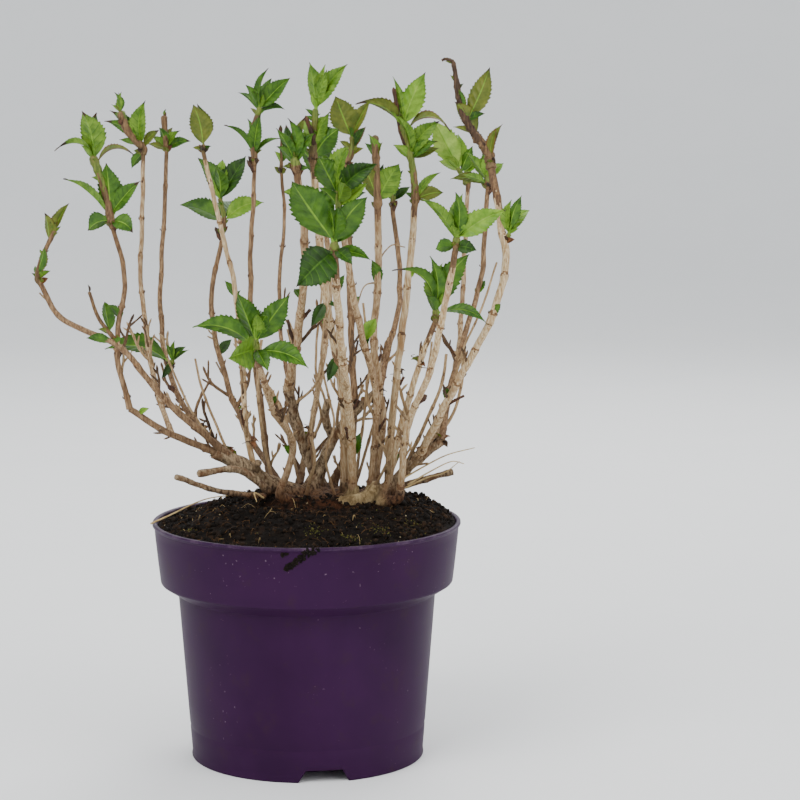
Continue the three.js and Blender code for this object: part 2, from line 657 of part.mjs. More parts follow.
    side: 4, fore: 4, long: 11, bow: 0, end: 2.4,
    leaves: [
      [7, -42, 8, 44, { wide: 0.24, arch: 80, face: 44 }], [9, -3, 14, 40, { wide: 0.26 }],
      [8, 33, 8, 47, { wide: 0.38, face: 80 }], [6, 98, 22, 38, { wide: 0.26, arch: 64, face: 44 }],
      [9, 10, -18, 33], [5, -20, 34, 20],
    ],
  },
  {
    name: 'shoot_right_pale', on: 'cane_right_pale',
    side: 4, fore: 2, long: 10, bow: 0, end: 2.6,
    leaves: [
      [6, -38, 8, 38, { wide: 0.28, arch: 40, face: 50 }], [8, 2, 12, 33, { wide: 0.34 }],
      [8, 8, -10, 31, { wide: 0.34 }], [7, 56, 8, 39, { wide: 0.42, face: 78 }],
      [3, -100, 20, 15, { wide: 0.66, face: 80 }], [3, 98, 24, 15, { wide: 0.66, face: 80 }],
      [6, -12, 40, 16],
    ],
  },
  {
    name: 'shoot_dried_top', on: 'cane_far_right_high',
    side: -20, fore: 0, long: 78, bow: -6, end: 3, start: 7,
    leaves: [
      [77, -72, 0, 6, { wide: 0.4 }], [36, 22, 8, 42, { wide: 0.36, face: 82, arch: 14 }],
      [38, 66, 4, 14], [24, -31, 10, 31, { wide: 0.4, face: 74 }],
      [26, -72, 6, 17, { wide: 0.24, arch: 40 }], [42, -8, 14, 20, { wide: 0.26 }],
      [8, 20, 6, 25, { wide: 0.3 }], [6, 8, 16, 24, { wide: 0.3 }], [58, 34, 8, 7], [64, -40, 8, 7],
    ],
  },
  {
    name: 'shoot_far_right_side', on: 'cane_far_right_high',
    at: 0.52, side: 32, fore: 0, long: 8, bow: 0, end: 2, start: 2.6,
    leaves: [
      [6, 4, -6, 25, { wide: 0.3 }], [7, 17, 12, 29, { wide: 0.3 }], [6, 40, -38, 30, { wide: 0.36 }],
      [6, 24, -24, 22],
    ],
  },
  {
    name: 'shoot_right_rear', on: 'cane_right_rear',
    side: -4, fore: 0, long: 12, bow: 0, end: 2.4,
    leaves: [
      [6, -11, 10, 25, { wide: 0.34 }], [5, -32, 8, 27, { wide: 0.34 }], [8, 12, 8, 23],
      [4, -82, 6, 28, { wide: 0.3 }], [4, -68, 24, 22, { wide: 0.3 }], [8, 2, -14, 22],
      [6, 40, -20, 20],
    ],
  },
  {
    name: 'shoot_broad_leaf', on: 'cane_right_far',
    side: -30, fore: 4, long: 16, bow: 0, end: 2.2,
    leaves: [
      [14, -27, 8, 41, { wide: 0.5, face: 86, arch: 14 }], [14, 2, -10, 26], [10, 24, 10, 23],
      [12, -60, 10, 18], [8, 50, -10, 20],
    ],
  },
  {
    name: 'shoot_back', on: 'cane_back',
    side: 2, fore: -6, long: 24, bow: 0, end: 2.4,
    leaves: [
      [20, -30, -14, 40, { wide: 0.46 }], [21, 34, -16, 41, { wide: 0.46 }],
      [22, 4, -30, 36, { wide: 0.42 }], [21, -4, 20, 31, { wide: 0.4 }],
      [6, -66, -20, 36, { wide: 0.46, arch: 40 }], [7, 70, -18, 34, { wide: 0.46, arch: 40 }],
      [8, -160, -66, 30, { wide: 0.5 }],
    ],
  },
  {
    name: 'shoot_back_left', on: 'cane_back_left',
    side: -4, fore: -6, long: 28, bow: 2, end: 2.4,
    leaves: [
      [24, -28, -10, 38, { wide: 0.46 }], [25, 30, -12, 39, { wide: 0.46 }],
      [26, 2, -26, 34, { wide: 0.4 }], [25, -6, 24, 30, { wide: 0.4 }],
      [9, -70, -14, 36, { wide: 0.46, arch: 40 }], [10, 66, -12, 34, { wide: 0.46, arch: 40 }],
      [10, 20, -60, 30, { wide: 0.5 }],
    ],
  },
  {
    name: 'shoot_left_low', on: 'cane_left_inner',
    at: 0.38, side: 30, fore: 26, long: 9, bow: 0, end: 2, start: 2.6,
    leaves: [
      [6, -76, 14, 50, { wide: 0.34, arch: 46, face: 70 }], [7, 40, 20, 16], [7, -12, 10, 14],
      [6, -150, 24, 14],
    ],
  },
  {
    name: 'twig_left', on: 'cane_left_high',
    at: 0.36, side: -26, fore: 6, long: 42, bow: -3, end: 1.8, start: 2.6,
    leaves: [
      [9, -2, 26, 26, { wide: 0.4 }], [8, -64, 12, 10], [41, -10, 4, 6, { wide: 0.3 }],
    ],
  },
];

// A leaf that would touch a limb or another shoot is turned towards or from the viewer,
// or left out where no turn clears it
const turnsTried = [0, 14, -14, 28, -28, 42, -42];
const highestRoot = 0.985;
const straightStart = 0.12;
const stemSides = 5;
const stemTaper = 0.94;
const budCount = 2;
const budWide = 0.36;
const budLengths = [7, 13];
const budSides = [15, 65];
const budHeights = [0.3, 0.9];
const budForeMost = 30;

function boxesMeet(a, b) {
  return [0, 1, 2].every((k) => a.min[k] <= b.max[k] && b.min[k] <= a.max[k]);
}

function isClear(piece, others) {
  const box = piece.boundingBox();
  return others.every((other) => !boxesMeet(box, other.box) || piece.intersect(other.solid).isEmpty());
}

function withBox(solid) {
  return { solid, box: solid.boundingBox() };
}

function shootStem(shoot) {
  const cane = curveOf[shoot.on];
  const at = shoot.at ?? 1;
  const lean = directionOf(shoot.side, shoot.fore);
  const along = shoot.at === undefined ? cane.getTangentAt(1) : lean;
  const start = cane.getPointAt(at);
  if (shoot.at === undefined) start.addScaledVector(along, gap);
  const end = start.clone().addScaledVector(lean, shoot.long);
  const aside = new THREE.Vector3(1, 0, 0).multiplyScalar(shoot.bow);
  const middle = start.clone().lerp(end, 0.5).add(aside);
  const low = start.clone().addScaledVector(along, shoot.long * straightStart);
  return new THREE.CatmullRomCurve3([start, low, middle, end], false, 'centripetal');
}

function makeShoot(shoot, number, others) {
  const random = seededRandom(number + 1);
  const curve = shootStem(shoot);
  const cane = [...oldStems, ...canes].find((limb) => limb.name === shoot.on);
  const thick = [shoot.start ?? cane.thick[1] * stemTaper, shoot.end];
  const stem = limbSolid(curve, thick, { joints: false, sides: stemSides }).subtract(keepOut[shoot.on]);
  const pieces = [mainBody(stem)];
  const addLeaf = (up, leaf) => {
    const root = curve.getPointAt(Math.min(up / shoot.long, highestRoot));
    const tries = turnsTried.map((turn) => leafSolid(root, { ...leaf, fore: leaf.fore + turn }));
    const blade = tries.find((solid) => isClear(solid, others));
    if (blade) pieces.push(blade);
  };
  for (const [up, side, fore, long, more] of shoot.leaves) addLeaf(up, { side, fore, long, ...more });
  const between = ([low, high]) => THREE.MathUtils.lerp(low, high, random());
  for (let i = 0; i < budCount; i += 1) {
    const up = shoot.long * between(budHeights);
    const side = (random() < 0.5 ? -1 : 1) * between(budSides);
    const fore = between([-budForeMost, budForeMost]);
    addLeaf(up, { side, fore, long: between(budLengths), wide: budWide });
  }
  return mainBody(unionOf(pieces), leafyFinest);
}

// The whole plant

const plant = new THREE.Group();
plant.name = 'potted_hydrangea';

plant.add(meshFrom('pot', makePot(), colours.pot, 0.5));
plant.add(meshFrom('soil', makeSoil(), colours.soil, 0.95));

oldStems.forEach(makeLimb);
canes.forEach(makeLimb);
plant.add(meshFrom('woody_crown', makeCrown(), colours.oldWood, 0.9));
oldStems.forEach(({ name }) => plant.add(meshFrom(name, limbOf[name], colours.oldWood, 0.9)));
canes.forEach(({ name }) => plant.add(meshFrom(name, limbOf[name], colours.cane, 0.7)));

const occupied = Object.values(keepOut).map(withBox);
shoots.forEach((shoot, number) => {
  const solid = makeShoot(shoot, number, occupied);
  occupied.push(withBox(solid));
  plant.add(meshFrom(shoot.name, solid, colours.leaf, 0.5));
});

export default plant;
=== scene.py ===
import random
from collections import namedtuple
from math import atan2, cos, degrees, exp, hypot, pi, radians, sin, sqrt, tan

import bmesh
import bpy
import numpy as np
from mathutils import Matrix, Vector, noise


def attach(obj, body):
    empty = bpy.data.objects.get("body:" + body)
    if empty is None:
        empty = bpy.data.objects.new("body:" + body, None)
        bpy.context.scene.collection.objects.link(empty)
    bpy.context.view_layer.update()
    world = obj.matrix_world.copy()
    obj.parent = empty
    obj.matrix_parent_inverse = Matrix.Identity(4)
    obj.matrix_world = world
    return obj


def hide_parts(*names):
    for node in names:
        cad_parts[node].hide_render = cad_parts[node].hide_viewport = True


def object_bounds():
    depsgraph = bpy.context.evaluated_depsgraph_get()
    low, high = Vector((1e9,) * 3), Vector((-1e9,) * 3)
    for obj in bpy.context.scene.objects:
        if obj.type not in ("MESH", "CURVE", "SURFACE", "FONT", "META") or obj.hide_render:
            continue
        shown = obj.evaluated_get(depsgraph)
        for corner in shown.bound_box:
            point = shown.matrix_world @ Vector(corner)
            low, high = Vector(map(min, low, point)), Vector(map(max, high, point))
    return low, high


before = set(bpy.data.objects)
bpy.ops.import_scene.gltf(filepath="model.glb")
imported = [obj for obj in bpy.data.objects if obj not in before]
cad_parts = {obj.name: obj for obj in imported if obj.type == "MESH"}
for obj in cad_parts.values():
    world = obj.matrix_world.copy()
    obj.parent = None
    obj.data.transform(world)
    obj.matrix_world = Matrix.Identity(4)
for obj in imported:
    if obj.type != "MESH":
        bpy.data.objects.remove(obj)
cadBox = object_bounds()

mm = 0.001  # shapes are worked out in millimetres, Blender is in metres
scene = bpy.context.scene


def srgb(*colour):
    # a colour as seen on screen, 0 to 255, turned into the linear one that shaders take
    shares = [c / 255 for c in colour]
    linear = [s / 12.92 if s <= 0.04045 else ((s + 0.055) / 1.055) ** 2.4 for s in shares]
    return (*linear, 1)


def shaded(colour, share):
    return tuple(c * share for c in colour)


class Wire:
    # one output in a shader tree; maths on it adds the Math nodes
    def __init__(self, finish, out):
        self.finish = finish
        self.out = out

    def maths(self, operation, *values):
        return self.finish.node("ShaderNodeMath", {"operation": operation}, values)

    def __add__(self, other):
        return self.maths("ADD", self, other)

    def __radd__(self, other):
        return self.maths("ADD", other, self)

    def __sub__(self, other):
        return self.maths("SUBTRACT", self, other)

    def __rsub__(self, other):
        return self.maths("SUBTRACT", other, self)

    def __mul__(self, other):
        return self.maths("MULTIPLY", self, other)

    def __rmul__(self, other):
        return self.maths("MULTIPLY", other, self)


class Finish:
    # one material: what is the same all over is set on the shader, the rest is wired
    sockets = dict(colour="Base Color", roughness="Roughness", normal="Normal",
                   specular="Specular IOR Level")

    def __init__(self, name, **uniform):
        self.material = bpy.data.materials.new(name)
        self.material.use_nodes = True
        self.tree = self.material.node_tree
        for socket, value in uniform.items():
            self.wear(socket, value)

    def wear(self, socket, value):
        self.feed(self.tree.nodes["Principled BSDF"].inputs[self.sockets[socket]], value)

    def feed(self, target, value):
        if isinstance(value, Wire):
            self.tree.links.new(value.out, target)
        else:
            target.default_value = value

    def node(self, kind, settings=None, values=(), out=0):
        made = self.tree.nodes.new(kind)
        for key, value in (settings or {}).items():
            setattr(made, key, value)
        for key, value in values.items() if isinstance(values, dict) else enumerate(values):
            self.feed(made.inputs[key], value)
        return Wire(self, made.outputs[out])

    def spot(self):
        # object coordinates in metres, which are the row frame's own
        return self.node("ShaderNodeTexCoord", out="Object")

    def grain(self, scale, detail=3, rough=0.55, stretch=(1, 1, 1)):
        place = self.node("ShaderNodeMapping", {}, {"Vector": self.spot(), "Scale": stretch})
        values = {"Vector": place, "Scale": scale, "Detail": detail, "Roughness": rough}
        return self.node("ShaderNodeTexNoise", {}, values, out="Fac")

    def height(self):
        return self.node("ShaderNodeSeparateXYZ", {}, [self.spot()], out="Z")

    def awayFrom(self, point):
        pair = (self.spot(), point)
        return self.node("ShaderNodeVectorMath", {"operation": "DISTANCE"}, pair, out="Value")

    def band(self, value, low, high):
        # 0 below low, 1 above high, and even between
        values = {"Value": value, "From Min": low, "From Max": high}
        return self.node("ShaderNodeMapRange", {"clamp": True}, values, out="Result")

    def blend(self, share, first, second):
        # plain colours are as seen on screen; Mix's colour sockets are numbers 6 and 7
        first, second = [srgb(*c) if isinstance(c, tuple) else c for c in (first, second)]
        return self.node("ShaderNodeMix", {"data_type": "RGBA"}, {0: share, 6: first, 7: second}, out=2)

    def bump(self, height, strength, depth):
        values = {"Strength": strength, "Distance": depth, "Height": height}
        self.wear("normal", self.node("ShaderNodeBump", {}, values, out="Normal"))


class Heap:
    # points and faces of one joined piece, in millimetres, with a look for each face
    def __init__(self):
        self.points = []
        self.faces = []
        self.looks = []
        self.count = 0

    def add(self, points, faces, look):
        self.points.append(np.asarray(points, float).reshape(-1, 3))
        self.faces.extend([[i + self.count for i in face] for face in faces])
        self.looks.extend(look if isinstance(look, list) else [look] * len(faces))
        self.count += len(self.points[-1])

    def mesh(self, name):
        mesh = bpy.data.meshes.new(name)
        mesh.from_pydata((np.concatenate(self.points) * mm).tolist(), [], self.faces)
        return mesh

    def piece(self, name, slotName, finishes, nodes=(), weld=0):
        mesh = self.mesh(name)
        mesh.polygons.foreach_set("material_index", self.looks)
        if weld:
            joinPoints(mesh, weld)
        stand(mesh, finishes, nodes)


def joinPoints(mesh, reach):
    work = bmesh.new()
    work.from_mesh(mesh)
    bmesh.ops.remove_doubles(work, verts=work.verts, dist=reach)
    work.to_mesh(mesh)
    work.free()


def showMesh(mesh, finishes):
    for finish in finishes:
        mesh.materials.append(finish.material)
    mesh.shade_smooth()
    piece = bpy.data.objects.new(mesh.name, mesh)
    scene.collection.objects.link(piece)
    return piece


def stand(mesh, finishes, nodes=()):
    piece = showMesh(mesh, finishes)
    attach(piece, "root")
    if nodes:
        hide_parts(*nodes)
    print("made", piece.name, len(mesh.polygons), "faces")


def around(radius, turn):
    return radius * cos(turn), radius * sin(turn)


def evenTurns(count):
    return 2 * pi * np.arange(count) / count


def ringFaces(rings, count, first=0):
    # four-cornered faces between rings of so many points each
    return [(a + i, a + (i + 1) % count, a + count + (i + 1) % count, a + count + i)
            for a in range(first, first + (rings - 1) * count, count) for i in range(count)]


# Camera, lights and floor: the photograph's view, from 1.8 m away and a little above
camera = dict(place=(0.0666, -1.761, 0.488), down=7.5, lens=112.5, sensor=36)
studio = dict(reach=5.0, wall=3.4, curve=2.2, curveSteps=12, segments=96, air=(0.93, 0.96, 1.0, 1),
              strength=1.05, aim=(0, 0, 0.28))
lights = [
    dict(name="keySoftbox", place=(-1.1, -1.5, 1.9), size=1.5, power=46),
    dict(name="fillSoftbox", place=(1.6, -1.2, 1.1), size=1.6, power=20),
    dict(name="backSoftbox", place=(0.5, 1.6, 1.9), size=1.4, power=34),
]


def makeCamera():
    data = bpy.data.cameras.new("photoCamera")
    data.lens = camera["lens"]
    data.sensor_width = camera["sensor"]
    view = bpy.data.objects.new("photoCamera", data)
    view.location = camera["place"]
    view.rotation_euler = (radians(90 - camera["down"]), 0, 0)
    scene.collection.objects.link(view)
    scene.camera = view


def makeLights():
    for light in lights:
        data = bpy.data.lights.new(light["name"], "AREA")
        data.size = light["size"]
        data.energy = light["power"]
        lamp = bpy.data.objects.new(light["name"], data)
        lamp.location = light["place"]
        lamp.rotation_euler = (Vector(studio["aim"]) - lamp.location).to_track_quat("-Z", "Y").to_euler()
        scene.collection.objects.link(lamp)
    world = bpy.data.worlds.new("studioAir")
    world.use_nodes = True
    air = world.node_tree.nodes["Background"]
    air.inputs["Color"].default_value = studio["air"]
    air.inputs["Strength"].default_value = studio["strength"]
    scene.world = world


def makeFloor():
    # a round floor that curves up into a low wall, open at the top
    reach, curve = studio["reach"], studio["curve"]
    profile = [(0, 0), (reach - curve, 0)]
    for step in range(studio["curveSteps"]):
        side, rise = around(curve, pi / 2 * (step + 1) / studio["curveSteps"])[::-1]
        profile.append((reach - curve + side, curve - rise))
    profile.append((reach, studio["wall"]))
    turns = evenTurns(studio["segments"])
    mesh = bpy.data.meshes.new("studioFloor")
    mesh.from_pydata([(*around(radius, turn), height) for radius, height in profile for turn in turns], [],
                     ringFaces(len(profile), len(turns)))
    joinPoints(mesh, 1e-5)
    paper = Finish("studioPaper", roughness=0.9, specular=0.1)
    paper.wear("colour", paper.blend(paper.grain(6), (236, 237, 237), (241, 241, 240)))
    showMesh(mesh, [paper])


makeCamera()
makeLights()
makeFloor()
print("stage set")


# Smooth lines and round stems, as the part's source makes them
class Line:
    # a centripetal curve through a few places, read evenly by length
    steps = 40

    def __init__(self, places):
        p = [np.array(place, float) for place in places]
        p = [2 * p[0] - p[1], *p, 2 * p[-1] - p[-2]]
        t = np.linspace(0, 1, self.steps, endpoint=False)[:, None]
        runs = []
        for a, b, c, d in zip(p, p[1:], p[2:], p[3:]):
            before, between, after = (np.linalg.norm(e - f) ** 0.5 for e, f in ((b, a), (c, b), (d, c)))
            leave = ((b - a) / before - (c - a) / (before + between) + (c - b) / between) * between
            arrive = ((c - b) / between - (d - b) / (between + after) + (d - c) / after) * between
            squared = 3 * (c - b) - 2 * leave - arrive
            cubed = 2 * (b - c) + leave + arrive
            runs.append(b + leave * t + squared * t ** 2 + cubed * t ** 3)
        self.points = np.concatenate([*runs, p[-2][None]])
        lengths = np.linalg.norm(np.diff(self.points, axis=0), axis=1)
        self.along = np.concatenate([[0], np.cumsum(lengths)])
        self.length = float(self.along[-1])

    def at(self, share):
        want = np.clip(np.asarray(share, float), 0, 1) * self.length
        return np.stack([np.interp(want, self.along, self.points[:, k]) for k in range(3)], axis=-1)

    def way(self, share):
        near = 0.5 / self.length
        return unit(self.at(min(share + near, 1)) - self.at(max(share - near, 0)))


def unit(vector):
    return vector / np.linalg.norm(vector)


def steps(count):
    return np.linspace(0, 1, count)


def hump(away, reach):
    # 1 where away is 0, and gone at about twice the reach
    return np.exp(-(away / reach) ** 2)


def clamp(value):
    return min(max(value, 0), 1)


def lump(x, y, z):
    return noise.noise(Vector((x, y, z)))


def directionOf(side, fore):
    # side turns from upright to the right, fore leans to the viewer, both in degrees
    s, f = radians(side), radians(fore)
    return np.array([sin(s) * cos(f), -sin(f), cos(s) * cos(f)])


def beside(way, guide):
    # two directions across a way
    across = unit(np.cross(way, guide))
    return across, np.cross(way, across)


def ringFrames(places):
    # directions across and beside a line at each place, carried along it without twisting
    ways = np.gradient(places, axis=0)
    ways /= np.linalg.norm(ways, axis=1)[:, None]
    across = np.array([1.0, 0.0, 0.0]) if abs(ways[0][0]) < 0.9 else np.array([0.0, 1.0, 0.0])
    sides = []
    for way in ways:
        across = unit(across - way * across.dot(way))
        sides.append(across)
    across = np.array(sides)
    return across, np.cross(ways, across)


def tube(heap, places, radii, look, sides):
    # a closed round stem; radii holds one for each ring, or one for each ring and side
    places = np.asarray(places, float)
    rings = len(places)
    across, aside = ringFrames(places)
    turns = evenTurns(sides)
    radii = np.broadcast_to(np.asarray(radii, float).reshape(rings, -1), (rings, sides))[:, :, None]
    hoop = across[:, None] * np.cos(turns)[None, :, None] + aside[:, None] * np.sin(turns)[None, :, None]
    points = np.concatenate([(places[:, None] + hoop * radii).reshape(-1, 3), places[:1], places[-1:]])
    faces = ringFaces(rings, sides)
    looks = list(look) if isinstance(look, list) else [look] * len(faces)
    last = (rings - 1) * sides
    for i in range(sides):
        j = (i + 1) % sides
        faces += [(rings * sides, j, i), (rings * sides + 1, last + i, last + j)]
    heap.add(points, faces, looks + [looks[0], looks[-1]] * sides)


# The plant's limbs, by the rule of the part's source. Each starts at a place, or at a limb and a share
# of the way up it; then its thickness at foot and tip, and the places that it goes through to its tip.
oldStems = {
    "old_stem_left": ((-23, 12, 190), 13, 9, (-45, 2, 208), (-65, -6, 220)),
    "old_stem_middle": ((7, 34, 191), 9, 7, (-5, 30, 224), (-14, 20, 261)),
    "old_stem_dark": ((3, 15, 191), 9, 6, (22, 26, 230), (52, 44, 259)),
    "old_stem_right": ((59, 8, 191), 9, 6.5, (76, 2, 211), (96, 0, 227)),
}
canes = {
    "cut_stub": (("old_stem_dark", 0.42), 6, 5.5, (13, 15, 240), (15, 9, 255)),
    "cane_left_low": (("old_stem_left", 0.96), 5.2, 4.4, (-97, -16, 235), (-123, -24, 253)),
    "cane_left_high": (("cane_left_low", 1), 4.2, 3.2, (-131, -26, 295), (-126, -18, 347),
        (-134, -14, 379)),
    "cane_far_left": (("old_stem_left", 0.7), 5, 3.6, (-97, -34, 261), (-128, -47, 300), (-167, -50, 320),
        (-180, -50, 343)),
    "cane_left_back": (("cane_left_low", 0.5), 4, 3, (-108, 10, 266), (-120, 40, 331), (-119, 55, 428)),
    "cane_left_inner": (("old_stem_left", 0.54), 4.4, 3, (-88, 26, 246), (-107, 60, 293), (-106, 95, 428)),
    "cane_mid_left": (("old_stem_left", 0.34), 4.6, 3, (-44, 14, 235), (-49, 40, 309), (-74, 35, 430)),
    "cane_mid_left_back": ((-27, 22, 190), 5, 3, (-33, 33, 238), (-42, 54, 323), (-39, 60, 420)),
    "cane_low_front": ((-19, -8, 189), 5.4, 4, (-9, -22, 227), (-21, -52, 257), (-30, -92, 298)),
    "cane_thin": (("old_stem_middle", 0.72), 3.4, 2.4, (-22, 62, 312), (-19, 90, 382), (-21, 94, 412)),
    "cane_centre_left": (("old_stem_middle", 1), 6.2, 5.2, (-5, -5, 307), (1, -30, 365), (-4, -40, 419)),
    "cane_centre": ((27, 8, 190), 6.2, 5.2, (26, 0, 256), (14, -22, 336), (7, -30, 423)),
    "cane_centre_back": ((18, 40, 190), 5.4, 4, (32, 42, 226), (31, 54, 301), (28, 62, 418)),
    "cane_front": ((33, -1, 189), 6.4, 5, (32, -16, 237), (26, -60, 305), (23, -98, 366)),
    "cane_front_right": ((45, 0, 190), 5.4, 4.4, (50, -14, 257), (38, -44, 318), (27, -72, 385)),
    "cane_right_centre": ((48, 22, 190), 5.6, 5, (54, 15, 240), (48, 6, 295), (51, 0, 342), (51, -4, 391)),
    "cane_right_back": (("old_stem_dark", 1), 4.6, 3.4, (58, 60, 284), (67, 85, 331), (61, 100, 387)),
    "cane_tall_right": ((58, 34, 189), 5.8, 4.8, (62, 32, 252), (75, 32, 361), (77, 28, 392)),
    "cane_right_low": ((56, -6, 189), 5, 4, (70, -18, 250), (81, -30, 288), (91, -42, 316)),
    "cane_right_pale": ((66, -14, 188), 5.2, 4.2, (72, -30, 240), (89, -58, 290), (104, -84, 369)),
    "cane_far_right_low": (("old_stem_right", 0.62), 5.6, 5, (98, -20, 254), (128, -48, 315)),
    "cane_far_right_high": (("cane_far_right_low", 1), 5, 5.4, (139, -42, 351), (136, -32, 386),
        (130, -20, 421)),
    "cane_right_rear": (("old_stem_right", 1), 4.6, 3.4, (106, 30, 274), (125, 60, 334), (130, 50, 403)),
    "cane_right_far": (("old_stem_right", 0.8), 4.2, 3.2, (104, 46, 257), (112, 85, 312), (117, 98, 404)),
    "cane_back": ((-7, 46, 188), 5, 3.6, (4, 82, 246), (14, 112, 317), (10, 122, 380)),
    "cane_back_left": ((-20, 38, 188), 4.8, 3.4, (-51, 68, 233), (-74, 98, 311), (-66, 106, 367)),
}
cutStems = [
    ((-26, -1, 190), 7, 5.5, (-47, -14, 208), (-75, -30, 208)),
    ((-29, -9, 188), 5.5, 4.5, (-62, -24, 195), (-90, -42, 208)),
    ((58, 21, 188), 7, 5, (85, 25, 195), (105, 24, 201)),
]
limbs = {**oldStems, **canes}
lineOf = {}


def startOf(start):
    return lineOf[start[0]].at(start[1]) if isinstance(start[0], str) else start


def taper(foot, tip, share):
    # a stem's radius part way up, from its thickness at foot and tip
    return (foot + (tip - foot) * share) / 2


def girthAt(limb, share):
    return taper(limb[1], limb[2], share)


# A leaf: how far up its shoot's stem it grows, its direction to the side and to the fore, its length, its
# width as a share of that, how far its face turns to the viewer and how far it arches over, in degrees
Leaf = namedtuple("Leaf", "up side fore long wide face arch", defaults=(0.42, 65, 30))
